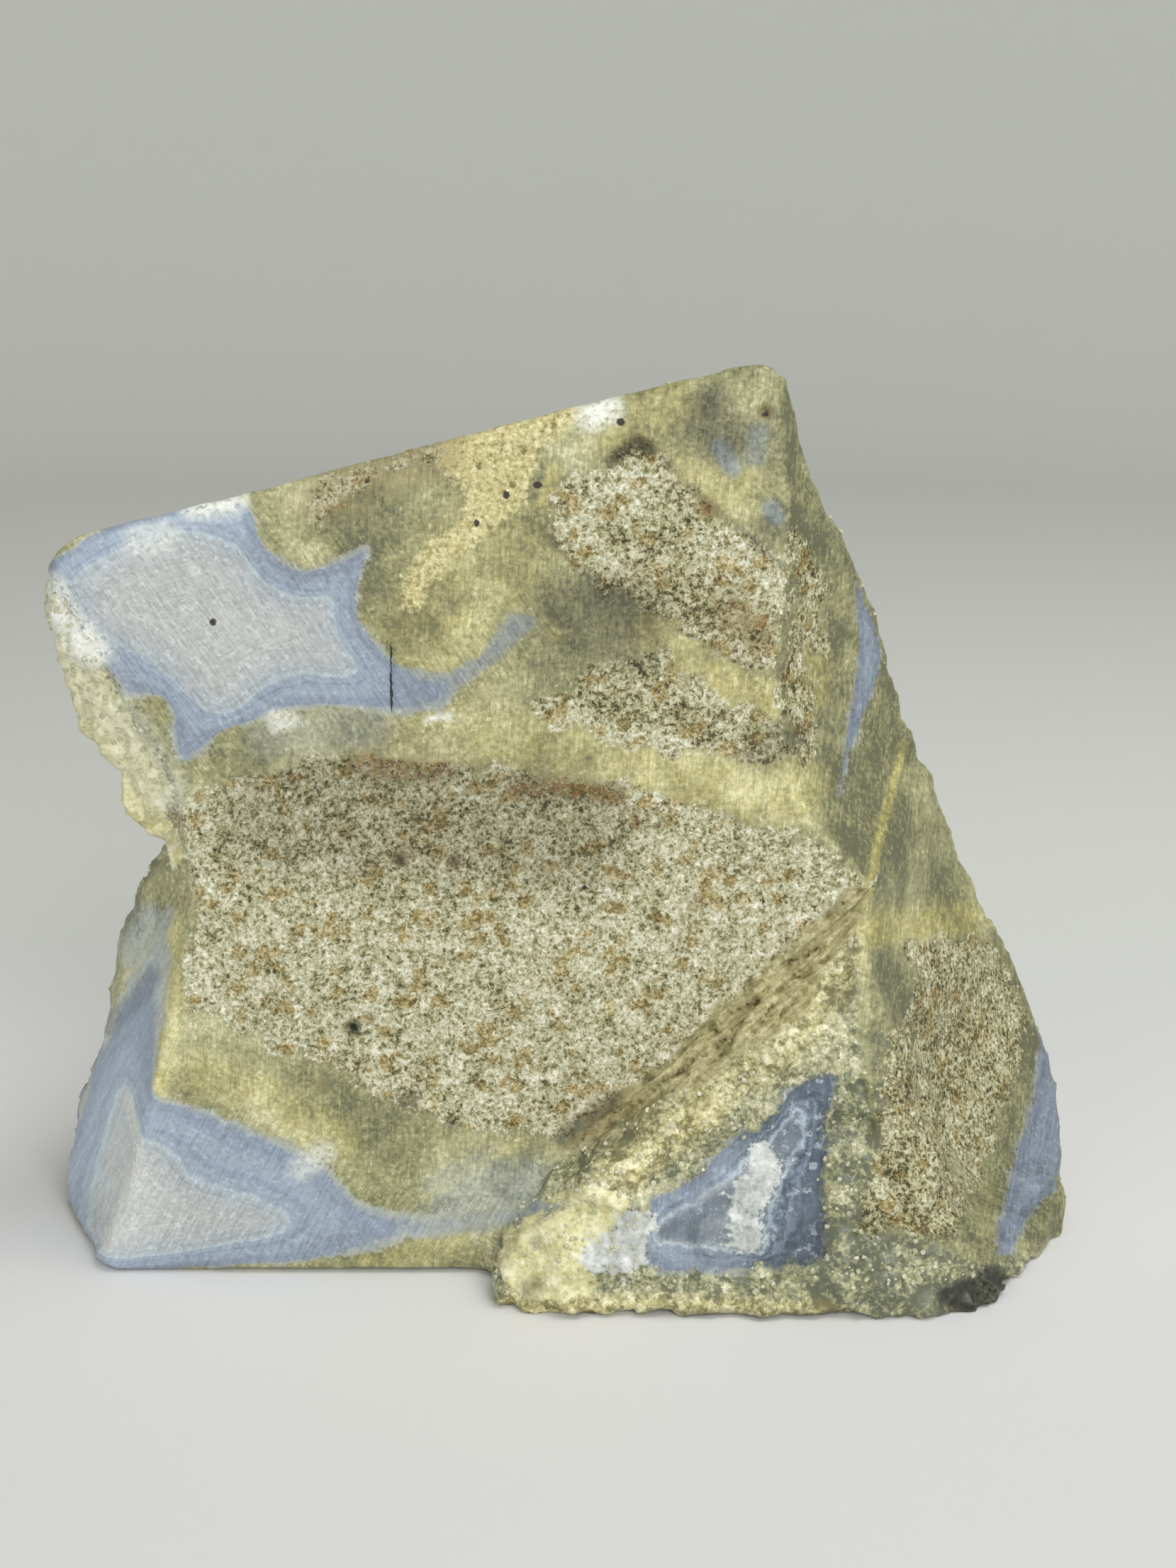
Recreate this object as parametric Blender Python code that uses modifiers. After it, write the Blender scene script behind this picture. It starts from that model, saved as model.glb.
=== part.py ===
"""Blue lace agate: one saw-cut block of dolerite breccia with blue banded agate, standing on its edge.

The block is a loft through three outlines. The front outline is the edge of the vertical saw cut, at y = 0.
The rim outline is what shows of the stone past that cut. The rear outline carries the sides back, and the
leaning back of the stone is then cut off it. A broken, unsawn lump stands proud of the saw cut at lower
right, under a stepped ledge. Metres, +Z up, the sawn front faces -Y, and the origin is under the middle of
the stone's box.
"""

import bmesh
import bpy
from mathutils import Vector, noise
from mathutils.bvhtree import BVHTree

MM = 0.001

SAWN, BROKEN, RIND = 0, 1, 2

# Size of the even faces that take the relief, and how many triangles are left of them
VOXEL = 1.15 * MM
TRIANGLES = 7600

# The slight waviness that a slab saw leaves
SAW_WAVE = 0.09 * MM
SAW_WAVE_SIZE = 5 * MM

# Relief of the surfaces that no saw touched
ROUGH_FADE = 2.2 * MM
SWELL = 1.8 * MM
SWELL_SIZE = 17 * MM
FRAGMENT_SIZE = 21 * MM
FRAGMENT_RISE = 1.1 * MM
FRAGMENT_EDGE = 0.30
RIND_PIT = 0.5 * MM
RIND_PIT_SIZE = 4.2 * MM
FACET_STEP = 0.5 * MM
FACET_SIZE = 4.4 * MM
FACET_TILT = 0.20

# Broken ledge below the saw cut: how far under its edge each step starts, and how deep it goes
LEDGE_STEPS = ((0.0 * MM, 1.1 * MM), (2.3 * MM, 2.6 * MM))
LEDGE_DROP = 8.5 * MM

REAR_DEPTH = 34 * MM
SLOT_START = 12 * MM

# The sole is ground flat up to this height, where the surface looks down at least this steeply
SOLE_RISE = 1.6 * MM
SOLE_SLOPE = -0.5

# Stations round the stone, clockwise from the upper left as seen from the front, in mm: front outline (x, z)
# and rim outline (x, y, z), and the way that each side runs on behind the rim, per mm of depth.
TOP_RUN = (0.0, -0.25)
RIGHT_RUN = (-0.55, -0.04)
BASE_RUN = (0.0, 0.0)
LEFT_RUN = (0.42, 0.0)
WING_RUN = (0.10, 0.02)
TOP_STATIONS = (
    ((-45.0, 64.9), (-45.8, 1.4, 65.7)),
    ((-43.3, 67.2), (-43.4, 0.8, 67.8)),
    ((-28.9, 70.9), (-28.9, 0.8, 71.4)),
    ((-7.6, 76.5), (-7.6, 0.8, 77.0)),
    ((13.9, 81.9), (14.4, 0.8, 82.5)),
)
RIGHT_STATIONS = (
    ((15.6, 80.9), (16.6, 1.2, 80.9)),
    ((16.2, 74.7), (18.2, 2.4, 74.8)),
    ((16.8, 69.5), (20.5, 4.6, 69.8)),
    ((16.3, 62.2), (24.2, 9.0, 63.0)),
    ((16.0, 56.1), (27.2, 12.3, 55.6)),
    ((16.8, 49.9), (29.9, 15.0, 48.8)),
    ((19.0, 43.6), (32.0, 16.2, 44.6)),
    ((24.6, 37.1), (35.4, 18.0, 35.4)),
    ((24.8, 26.0), (41.0, 20.0, 24.3)),
    ((25.6, 12.0), (46.0, 20.0, 12.5)),
    ((30.0, 3.0), (47.3, 18.0, 3.4)),
)
BASE_STATIONS = (
    ((28.0, 0.3), (44.5, 8.0, 0.0)),
    ((-9.0, 0.1), (-9.0, 0.5, 0.0)),
    ((-33.0, 0.1), (-33.0, 0.5, 0.0)),
    ((-44.4, 0.3), (-46.5, 3.0, 0.0)),
)
LEFT_STATIONS = (
    ((-43.6, 2.6), (-51.4, 15.0, 1.5)),
    ((-41.0, 9.5), (-49.9, 14.6, 6.9)),
    ((-39.2, 17.0), (-48.0, 14.0, 13.0)),
    ((-37.4, 23.5), (-45.6, 12.6, 18.7)),
    ((-36.2, 28.5), (-44.5, 11.6, 21.4)),
    ((-35.0, 34.5), (-43.2, 10.0, 27.6)),
    ((-34.2, 37.9), (-40.4, 6.6, 35.2)),
)
WING_STATIONS = (
    ((-34.6, 39.8), (-36.7, 2.0, 39.4)),
    ((-34.7, 42.6), (-38.1, 3.4, 41.8)),
    ((-37.0, 49.3), (-42.4, 4.0, 47.0)),
    ((-39.0, 53.0), (-44.5, 4.0, 51.2)),
    ((-42.6, 59.7), (-46.7, 4.0, 58.6)),
    ((-44.1, 62.4), (-46.5, 3.0, 62.8)),
)

# The leaning back: a point (x, y, z) and the outward normal of each cut, in mm, upper, middle and lower
BACK_CUTS = (
    ((16.0, 2.2, 80.0), (0.05, 1.0, 0.47)),
    ((16.0, 13.6, 55.0), (0.05, 1.0, 0.27)),
    ((0.0, 24.5, 10.0), (-0.04, 1.0, 0.03)),
)
HEEL_CUT = ((47.0, 19.0, 0.0), (0.75, 0.6, -0.28))

# Upper edge of the ledge, from right to left (x, z), in mm
LEDGE_LINE = (
    (27.5, 39.4),
    (24.6, 37.0),
    (19.9, 33.2),
    (16.9, 30.2),
    (12.6, 26.3),
    (8.2, 21.9),
    (4.5, 19.2),
    (1.3, 16.8),
    (-2.2, 13.6),
    (-5.0, 9.5),
)

# Corners of the broken lump that stands proud of the saw cut, and of its apron round the right foot, in mm
LUMP_FOOT = (
    (-9.4, -1.2, 0.3),
    (-8.1, -5.0, 0.3),
    (-5.8, -7.6, 0.1),
    (-3.0, -8.9, 0.0),
    (8.0, -8.7, 0.0),
    (24.5, -9.2, 0.0),
    (31.4, -9.1, 0.0),
)
LUMP_TOE = ((35.8, -6.0, 0.3), (34.0, -5.0, 3.0), (30.5, -5.5, 6.0))
LUMP_KNOB = ((-8.0, -6.6, 3.0), (-5.5, -6.8, 7.0), (-1.0, -7.2, 10.0), (3.0, -7.4, 8.5))
LUMP_LEFT = ((-9.2, 1.0, 1.5), (-7.8, 1.0, 5.0), (-4.5, 1.0, 9.0))
LUMP_TOP = ((-2.2, 2.7, 13.0), (4.5, 2.7, 18.4), (12.6, 2.7, 25.5), (19.9, 2.7, 32.4), (23.6, 2.7, 35.6))
LUMP_RIGHT = ((24.2, -0.5, 31.0), (24.6, -2.8, 22.0), (25.2, -5.2, 12.0))
LUMP_ROOT = ((-5.0, 10.0, 0.3), (-4.0, 10.0, 8.0), (22.0, 10.0, 30.0), (38.0, 10.0, 0.3))
APRON_FOOT = (
    (28.0, -9.0, 0.0),
    (34.9, -7.9, 0.0),
    (37.5, -6.3, 0.0),
    (38.9, -2.1, 0.0),
    (41.6, 2.5, 0.0),
    (44.4, 7.2, 0.0),
)
APRON_TOP = ((29.0, -5.4, 5.6), (35.6, -3.6, 3.4), (37.8, 0.2, 3.4), (41.6, 5.6, 3.6), (46.0, 11.0, 3.6))
APRON_ROOT = ((28.0, 6.0, 0.0), (28.0, 6.0, 8.0), (42.0, 16.0, 6.0), (46.0, 16.0, 0.0))


def clear_scene():
    for obj in list(bpy.data.objects):
        bpy.data.objects.remove(obj)


def collection(name, hidden=False):
    made = bpy.data.collections.new(name)
    bpy.context.scene.collection.children.link(made)
    made.hide_render = hidden
    return made


def add_object(name, bm, group, helper=True):
    mesh = bpy.data.meshes.new(name)
    bm.to_mesh(mesh)
    bm.free()
    obj = bpy.data.objects.new(name, mesh)
    group.objects.link(obj)
    if helper:
        obj.hide_render = True
        obj.display_type = "WIRE"
    return obj


def bmesh_of(mesh):
    bm = bmesh.new()
    bm.from_mesh(mesh)
    return bm


def evaluated_mesh(obj):
    bpy.context.view_layer.update()
    graph = bpy.context.evaluated_depsgraph_get()
    return bpy.data.meshes.new_from_object(obj.evaluated_get(graph))


def stations():
    """Each station with its run behind the rim and the kind of surface from it to the next one."""
    sides = (
        (TOP_STATIONS, TOP_RUN, SAWN, SAWN),
        (RIGHT_STATIONS, RIGHT_RUN, SAWN, RIND),
        (BASE_STATIONS, BASE_RUN, BROKEN, RIND),
        (LEFT_STATIONS, LEFT_RUN, SAWN, RIND),
        (WING_STATIONS, WING_RUN, BROKEN, RIND),
    )
    for rows, run, near, far in sides:
        for front, rim in rows:
            yield front, rim, run, near, far


def saw(bm, point, normal, kind):
    """Cuts off what lies outside the plane and closes the cut."""
    centre = Vector(point) * MM
    cut = bmesh.ops.bisect_plane(
        bm,
        geom=bm.verts[:] + bm.edges[:] + bm.faces[:],
        plane_co=centre,
        plane_no=Vector(normal).normalized(),
        clear_outer=True,
    )
    edges = [part for part in cut["geom_cut"] if isinstance(part, bmesh.types.BMEdge)]
    for face in bmesh.ops.holes_fill(bm, edges=edges)["faces"]:
        face.material_index = kind
    bm.normal_update()


def block_mesh():
    """The loft through the front, rim and rear outlines, with the leaning back cut off."""
    bm = bmesh.new()
    rings = ([], [], [])
    kinds = []
    for (front_x, front_z), (rim_x, rim_y, rim_z), (run_x, run_z), near, far in stations():
        behind = REAR_DEPTH / MM - rim_y
        rear = (rim_x + run_x * behind, REAR_DEPTH / MM, rim_z + run_z * behind)
        for ring, place in zip(rings, ((front_x, 0.0, front_z), (rim_x, rim_y, rim_z), rear)):
            ring.append(bm.verts.new(Vector(place) * MM))
        kinds.append((near, far))
    bm.faces.new(rings[0]).material_index = SAWN
    bm.faces.new(list(reversed(rings[2]))).material_index = RIND
    count = len(kinds)
    for i in range(count):
        j = (i + 1) % count
        for k in range(2):
            corners = (rings[k][i], rings[k + 1][i], rings[k + 1][j], rings[k][j])
            bm.faces.new(corners).material_index = kinds[i][k]
    bm.normal_update()
    bmesh.ops.triangulate(bm, faces=bm.faces[:])
    bmesh.ops.recalc_face_normals(bm, faces=bm.faces[:])
    for point, normal in BACK_CUTS:
        saw(bm, point, normal, RIND)
    saw(bm, *HEEL_CUT, BROKEN)
    bmesh.ops.triangulate(bm, faces=bm.faces[:])
    return bm


def hull_mesh(points, kind):
    bm = bmesh.new()
    for point in points:
        bm.verts.new(Vector(point) * MM)
    hull = bmesh.ops.convex_hull(bm, input=bm.verts[:])
    bmesh.ops.delete(bm, geom=hull["geom_interior"], context="VERTS")
    bmesh.ops.recalc_face_normals(bm, faces=bm.faces[:])
    for face in bm.faces:
        face.material_index = kind
    return bm


def ledge_mesh(below, depth):
    """A slot that starts this far below the ledge line, cut square into the saw face."""
    bm = bmesh.new()
    fall = Vector((0.35, 0, -1))
    upper = [Vector((x, 0, z)) * MM + fall * below for x, z in LEDGE_LINE]
    lower = [point + fall * (LEDGE_DROP - below) for point in reversed(upper)]
    face = bm.faces.new([bm.verts.new(point - Vector((0, SLOT_START, 0))) for point in upper + lower])
    grown = bmesh.ops.extrude_face_region(bm, geom=[face])
    moved = [part for part in grown["geom"] if isinstance(part, bmesh.types.BMVert)]
    bmesh.ops.translate(bm, verts=moved, vec=(0, SLOT_START + depth, 0))
    bm.normal_update()
    bmesh.ops.triangulate(bm, faces=bm.faces[:])
    bmesh.ops.recalc_face_normals(bm, faces=bm.faces[:])
    for face in bm.faces:
        face.material_index = BROKEN
    return bm


def add_boolean(obj, other, operation):
    step = obj.modifiers.new(other.name, "BOOLEAN")
    step.operation = operation
    step.solver = "EXACT"
    step.object = other


def add_kinds(obj):
    """Gives the object one material for each kind of surface, so that a Boolean keeps them apart."""
    for kind in ("sawn", "broken", "rind"):
        obj.data.materials.append(bpy.data.materials.get(kind) or bpy.data.materials.new(kind))


def rough_block(helpers):
    """The block with its ledge and lump, as one solid with flat sides."""
    block = add_object("block", block_mesh(), helpers)
    add_kinds(block)
    for below, depth in LEDGE_STEPS:
        slot = add_object("ledge_slot", ledge_mesh(below, depth), helpers)
        add_kinds(slot)
        add_boolean(block, slot, "DIFFERENCE")
    lump_points = LUMP_FOOT + LUMP_TOE + LUMP_KNOB + LUMP_LEFT + LUMP_TOP + LUMP_RIGHT + LUMP_ROOT
    apron_points = APRON_FOOT + APRON_TOP + APRON_ROOT
    for name, points in (("lump", lump_points), ("apron", apron_points)):
        bulk = add_object(name, hull_mesh(points, BROKEN), helpers)
        add_kinds(bulk)
        add_boolean(block, bulk, "UNION")
    block.modifiers.new("triangles", "TRIANGULATE")
    return block


def even_mesh(block, helpers):
    """The block in small even faces, laid back on its flat sides."""
    even = add_object("even_block", bmesh_of(evaluated_mesh(block)), helpers)
    remesh = even.modifiers.new("even_faces", "REMESH")
    remesh.mode = "VOXEL"
    remesh.voxel_size = VOXEL
    lay = even.modifiers.new("lay_on_block", "SHRINKWRAP")
    lay.wrap_method = "NEAREST_SURFACEPOINT"
    lay.target = block
    return evaluated_mesh(even)


def tree_of(mesh, kinds):
    """A search tree of the mesh's faces of these kinds."""
    corners = [vertex.co for vertex in mesh.vertices]
    faces = [face.vertices for face in mesh.polygons if face.material_index in kinds]
    return BVHTree.FromPolygons(corners, faces)


def smooth_step(value):
    value = min(max(value, 0.0), 1.0)
    return value * value * (3 - 2 * value)


def facet_height(point, size, seed):
    """Height of a surface broken along crystal faces: each cell is a small tilted plane."""
    cell = noise.voronoi(point / size + Vector((seed, 0, 0)))[1][0]
    tilt = noise.cell_vector(cell * 7.3) * 2 - Vector((1, 1, 1))
    away = point / size + Vector((seed, 0, 0)) - cell
    return tilt.dot(away) * FACET_TILT * size + (noise.cell(cell * 5.1) - 0.5) * FACET_STEP


def rind_height(point):
    """Height of the weathered back: angular fragments proud of the veins, on a slow swell, with pits."""
    swell = noise.fractal(point / SWELL_SIZE, 0.9, 2.1, 3) * SWELL
    nearest, second = noise.voronoi(point / FRAGMENT_SIZE)[0][:2]
    fragment = smooth_step((second - nearest) / FRAGMENT_EDGE) * FRAGMENT_RISE
    pit = noise.voronoi(point / RIND_PIT_SIZE)[0][0]
    return swell + fragment - smooth_step(1 - pit * 2.2) * RIND_PIT


def roughen(bm, flat):
    """Moves the points of broken and weathered surfaces, and hardly those of a saw cut."""
    bm.normal_update()
    sawn, broken, rind = (tree_of(flat, (kind,)) for kind in (SAWN, BROKEN, RIND))
    moves = []
    for vertex in bm.verts:
        share = smooth_step(sawn.find_nearest(vertex.co)[3] / ROUGH_FADE)
        if broken.find_nearest(vertex.co)[3] < rind.find_nearest(vertex.co)[3]:
            height = facet_height(vertex.co, FACET_SIZE, 3.0)
        else:
            height = rind_height(vertex.co)
        wave = noise.noise(vertex.co / SAW_WAVE_SIZE) * SAW_WAVE
        moves.append(vertex.normal * (height * share + wave * (1 - share)))
    for vertex, move in zip(bm.verts, moves):
        vertex.co += move


def thin(bm, helpers):
    """The same surface in about TRIANGLES triangles, few where it is flat."""
    bmesh.ops.triangulate(bm, faces=bm.faces[:])
    share = TRIANGLES / len(bm.faces)
    obj = add_object("thinned", bm, helpers)
    step = obj.modifiers.new("fewer_faces", "DECIMATE")
    step.ratio = share
    step.use_collapse_triangulate = True
    return evaluated_mesh(obj)


def stand(bm):
    """Grinds the sole flat, and centres the stone's box on the origin."""
    bm.normal_update()
    for vertex in bm.verts:
        sole = vertex.normal.z < SOLE_SLOPE and vertex.co.z < SOLE_RISE
        vertex.co.z = 0.0 if sole else max(vertex.co.z, 0.0)
    corners = [vertex.co for vertex in bm.verts]
    middle = [(min(c[i] for c in corners) + max(c[i] for c in corners)) / 2 for i in range(2)]
    bmesh.ops.translate(bm, verts=bm.verts[:], vec=(-middle[0], -middle[1], 0))
    bmesh.ops.triangulate(bm, faces=bm.faces[:])


def stone_material():
    """Olive-grey chalcedony, satin from the saw."""
    material = bpy.data.materials.new("sawn_chalcedony")
    material.use_nodes = True
    shader = material.node_tree.nodes["Principled BSDF"]
    shader.inputs["Base Color"].default_value = (0.31, 0.30, 0.21, 1)
    shader.inputs["Roughness"].default_value = 0.55
    shader.inputs["Metallic"].default_value = 0
    material.diffuse_color = (0.31, 0.30, 0.21, 1)
    return material


def main():
    clear_scene()
    helpers = collection("cutters", hidden=True)
    stone_group = collection("blue_lace_agate_stone")
    block = rough_block(helpers)
    bm = bmesh_of(even_mesh(block, helpers))
    roughen(bm, evaluated_mesh(block))
    bm = bmesh_of(thin(bm, helpers))
    stand(bm)
    stone = add_object("blue_lace_agate", bm, stone_group, helper=False)
    stone.data.materials.clear()
    stone.data.materials.append(stone_material())


main()
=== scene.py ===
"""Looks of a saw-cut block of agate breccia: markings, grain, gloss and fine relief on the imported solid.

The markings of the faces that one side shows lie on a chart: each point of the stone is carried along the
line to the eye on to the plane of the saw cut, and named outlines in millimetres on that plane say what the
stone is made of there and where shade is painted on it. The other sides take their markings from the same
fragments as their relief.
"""

import logging
import math
from dataclasses import dataclass, field
from enum import Enum

import bmesh
import bpy
import numpy as np
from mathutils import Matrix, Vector, noise


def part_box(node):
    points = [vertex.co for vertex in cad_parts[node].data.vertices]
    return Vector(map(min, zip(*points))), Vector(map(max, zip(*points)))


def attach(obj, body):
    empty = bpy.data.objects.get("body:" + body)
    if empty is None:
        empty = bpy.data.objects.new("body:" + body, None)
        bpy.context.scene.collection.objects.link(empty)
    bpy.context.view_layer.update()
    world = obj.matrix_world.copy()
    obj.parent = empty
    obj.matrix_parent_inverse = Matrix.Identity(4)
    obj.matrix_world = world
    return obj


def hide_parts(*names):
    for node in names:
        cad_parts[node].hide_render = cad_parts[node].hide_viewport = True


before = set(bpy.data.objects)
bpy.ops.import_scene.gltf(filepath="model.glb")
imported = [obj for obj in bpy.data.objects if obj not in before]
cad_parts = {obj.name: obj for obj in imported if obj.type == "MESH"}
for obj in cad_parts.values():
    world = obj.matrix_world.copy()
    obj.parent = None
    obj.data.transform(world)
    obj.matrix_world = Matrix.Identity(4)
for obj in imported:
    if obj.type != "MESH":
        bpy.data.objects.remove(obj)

LOG = logging.getLogger("agate_breccia")
Outline = tuple[tuple[float, float], ...]
Stops = tuple[tuple[float, str], ...]

NODE = "blue_lace_agate"
BODY = "root"
MM = 0.001

# How the row frame lies to the drawing of the stone, in which the saw cut is at y = 0, in mm
DRAWING_TO_ROW = np.array((2.105, -9.006, 0.0))
# The eye, in the drawing, in mm, how far it looks down, and the focal length in pixels of the
# 1659 x 2212 image
EYE = np.array((0.0, -189.24, 97.06))
LOOK_DOWN = math.radians(15)
FOCAL_PIXELS = 3207
IMAGE_HEIGHT = 2212
SENSOR = 36.0


class Channel(Enum):
    """What a point of the stone is made of and stained with, and the shade painted on it, each the name of a
    point attribute.
    """

    DOLERITE = "dolerite"
    AGATE = "agate"
    BAND = "band"
    SEAM = "seam"
    QUARTZ = "quartz"
    SLATE = "slate"
    CRUST = "crust"
    ROUGH = "rough"
    RIND = "rind"
    YELLOW = "yellow"
    RUST = "rust"
    # Dark grains and patches, and painted shade in pits, a crevice and along the lump's foot
    DARK = "dark"
    PALE = "pale"
    BLUE = "blue"
    PIT = "pit"
    CREAM = "cream"
    # Tone that differs from place to place, and painted shade on the right faces and the lump's lower right
    TONE_AND_SHADE = "tone_and_shade"
    LINE = "line"
    # How deep a point lies in a cleft; the colour darkens it there as painted shade
    CLEFT_SHADE = "cleft"


# Outlines on the chart, in mm, each by the corners that its bends need
UPPER_WALL: Outline = (
    (-47.0, 65.2), (-43.6, 66.7), (-42.1, 67.9), (-38.8, 69.4), (-35.8, 70.2), (-32.3, 71.0),
    (-31.3, 71.8), (-28.8, 71.2), (-27.8, 69.9), (-27.6, 68.2), (-26.8, 66.7), (-25.3, 65.4),
    (-23.6, 65.0), (-21.8, 65.5), (-20.1, 66.4), (-18.6, 67.2), (-17.9, 66.8), (-18.1, 65.9),
    (-18.7, 65.2), (-19.2, 63.9), (-19.5, 61.9), (-19.0, 60.1), (-18.1, 58.9), (-16.8, 57.6),
    (-14.9, 56.4), (-12.3, 56.0), (-10.6, 56.8), (-8.8, 57.9), (-7.5, 60.1), (-6.6, 61.4), (-5.2, 61.3),
    (-3.9, 60.9), (-4.8, 59.6), (-6.6, 58.4), (-8.6, 56.4), (-10.8, 54.7), (-12.1, 52.8), (-15.7, 52.4),
    (-18.2, 52.8), (-20.7, 53.1), (-23.2, 53.2), (-25.8, 52.9), (-27.3, 52.4), (-29.6, 51.6),
    (-31.1, 51.0), (-32.4, 50.1), (-33.8, 48.4), (-35.1, 47.9), (-35.6, 49.1), (-35.8, 50.9),
    (-35.4, 52.2), (-35.9, 53.5), (-37.0, 54.2), (-38.6, 54.0), (-39.6, 54.2), (-40.0, 55.0),
    (-41.2, 56.8), (-42.6, 58.4), (-43.5, 59.9), (-44.2, 61.4), (-44.8, 62.9), (-47.1, 63.4),
)
UPPER_LINE: Outline = (
    (-43.3, 64.2), (-42.0, 65.2), (-38.2, 67.2), (-35.2, 68.1), (-33.4, 68.3), (-30.4, 67.3),
    (-29.5, 67.0), (-28.8, 65.9), (-28.1, 64.7), (-26.9, 63.5), (-25.4, 62.8), (-23.7, 62.4),
    (-21.5, 62.7), (-21.7, 61.4), (-21.5, 59.9), (-20.8, 58.4), (-19.6, 56.3), (-20.9, 55.9),
    (-22.4, 56.0), (-23.9, 56.3), (-25.4, 55.9), (-27.0, 55.4), (-28.5, 54.4), (-29.5, 53.2),
    (-31.1, 52.5), (-33.1, 53.2), (-34.5, 54.7), (-36.0, 56.3), (-37.9, 57.6), (-39.6, 58.6),
    (-40.8, 59.3), (-41.8, 60.1), (-42.2, 61.7), (-42.9, 62.9),
)
LOWER_WALL: Outline = (
    (-36.6, 17.0), (-33.8, 16.1), (-31.0, 14.8), (-28.4, 13.6), (-25.8, 12.3), (-23.6, 10.7),
    (-22.5, 9.5), (-20.8, 7.2), (-17.8, 6.3), (-14.4, 6.0), (-10.8, 6.1), (-7.9, 6.6), (-4.5, 7.5),
    (-1.9, 6.8), (-9.4, 4.1), (-13.8, 3.7), (-16.8, 3.1), (-19.7, 2.2), (-22.7, 1.5), (-25.6, 1.0),
    (-31.5, 0.7), (-37.4, 0.3), (-44.8, -0.2), (-49.9, -0.2), (-49.2, 11.0), (-46.7, 13.1),
    (-45.4, 16.1), (-44.4, 19.9), (-42.7, 23.8), (-41.9, 26.5), (-40.2, 29.1), (-38.2, 32.2),
    (-37.3, 34.9), (-36.5, 35.4), (-36.5, 32.6), (-37.2, 26.8), (-38.2, 21.9), (-39.1, 17.1),
)
LOWER_LINE: Outline = (
    (-38.9, 12.9), (-37.5, 11.6), (-36.4, 9.6), (-34.7, 8.6), (-32.4, 7.9), (-30.1, 7.2), (-28.4, 6.3),
    (-26.9, 5.1), (-28.5, 3.9), (-31.4, 3.4), (-34.4, 2.8), (-37.3, 2.2), (-40.3, 1.8), (-43.3, 1.5),
    (-44.9, 2.2), (-45.4, 5.4), (-44.5, 9.6), (-43.3, 13.8), (-41.9, 17.9), (-41.0, 18.6),
    (-40.6, 15.1), (-40.2, 12.9),
)
TRIANGLE_WALL: Outline = (
    (22.6, 20.4), (19.6, 19.3), (17.9, 17.8), (16.6, 15.5), (14.8, 14.4), (12.4, 12.8), (10.6, 10.9),
    (9.2, 9.4), (7.1, 8.2), (4.8, 7.4), (5.7, 6.7), (5.3, 3.9), (5.0, 2.4), (5.4, 0.4), (7.9, -0.2),
    (10.8, -0.2), (14.4, 0.4), (15.8, 0.8), (16.5, 0.4), (19.0, 0.6), (21.2, 0.8), (22.3, 1.2),
    (21.8, 4.7), (21.3, 8.6), (21.6, 12.5), (22.2, 16.3),
)
TRIANGLE_LINE: Outline = (
    (19.0, 16.7), (19.6, 12.8), (18.1, 11.3), (17.6, 9.0), (16.4, 6.3), (16.1, 2.4), (15.6, 1.8),
    (12.9, 2.3), (9.3, 2.7), (5.7, 3.1), (6.1, 4.9), (7.8, 6.0), (10.0, 7.2), (12.4, 9.0), (14.3, 11.1),
    (16.3, 13.2), (18.0, 15.1),
)
LENS_WALL: Outline = (
    (22.4, 64.2), (23.3, 63.1), (24.5, 60.0), (25.1, 57.8), (24.6, 55.3), (23.9, 53.1), (23.1, 50.8),
    (22.6, 49.1), (22.1, 46.8), (21.9, 44.5), (21.6, 46.5), (22.0, 49.6), (22.2, 52.2), (22.6, 55.0),
    (22.9, 57.8), (22.8, 60.6), (22.4, 62.5),
)
EDGE_BAND_WALL: Outline = (
    (40.5, 24.5), (39.9, 21.9), (39.8, 17.8), (38.9, 14.0), (38.0, 10.2), (37.5, 6.7), (36.9, 3.9),
    (37.2, 1.4), (38.8, 1.8), (39.7, 4.7), (41.4, 7.4), (44.1, 9.4), (43.3, 23.8),
)
GREAT_FRAGMENT: Outline = (
    (-31.3, 45.9), (-31.1, 46.7), (-29.3, 46.9), (-27.2, 47.5), (-25.1, 48.2), (-23.1, 49.1),
    (-21.1, 48.7), (-18.8, 48.9), (-17.0, 48.2), (-14.8, 48.1), (-12.2, 47.9), (-9.8, 47.9),
    (-7.3, 47.9), (-5.3, 47.1), (-3.1, 46.8), (0.2, 46.2), (4.6, 45.9), (6.6, 45.1), (9.2, 44.3),
    (14.1, 42.9), (18.5, 41.5), (20.7, 40.2), (22.9, 38.1), (24.9, 37.1), (24.0, 36.4), (21.7, 34.7),
    (19.3, 32.6), (16.9, 30.9), (14.6, 27.9), (10.8, 25.0), (9.0, 22.7), (6.3, 19.7), (3.2, 17.8),
    (2.1, 17.1), (-1.4, 13.8), (-4.4, 13.8), (-8.9, 14.1), (-12.1, 14.5), (-14.6, 15.7), (-16.5, 16.8),
    (-18.4, 17.5), (-21.5, 19.9), (-24.0, 21.3), (-27.1, 21.4), (-30.2, 23.1), (-32.0, 24.1),
    (-33.2, 25.3), (-35.6, 26.6), (-35.9, 27.3), (-35.3, 31.9), (-34.4, 35.8), (-34.3, 38.4),
    (-34.7, 40.0), (-35.4, 41.9), (-36.6, 44.2), (-34.7, 45.0), (-33.0, 45.5),
)
UPPER_FRAGMENT: Outline = (
    (3.8, 75.5), (1.3, 73.9), (-0.9, 72.8), (-2.5, 71.5), (-3.3, 70.2), (-4.1, 68.8), (-3.1, 67.4),
    (-0.9, 65.3), (1.3, 63.7), (4.0, 62.0), (5.7, 60.6), (7.8, 59.8), (10.0, 58.7), (11.7, 57.8),
    (13.9, 56.7), (15.3, 56.2), (16.3, 57.6), (16.5, 59.8), (16.9, 62.0), (16.9, 64.4), (16.2, 65.3),
    (14.2, 67.2), (12.6, 68.5), (11.0, 69.6), (9.1, 71.2), (7.7, 72.8), (6.1, 74.2),
)
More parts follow.
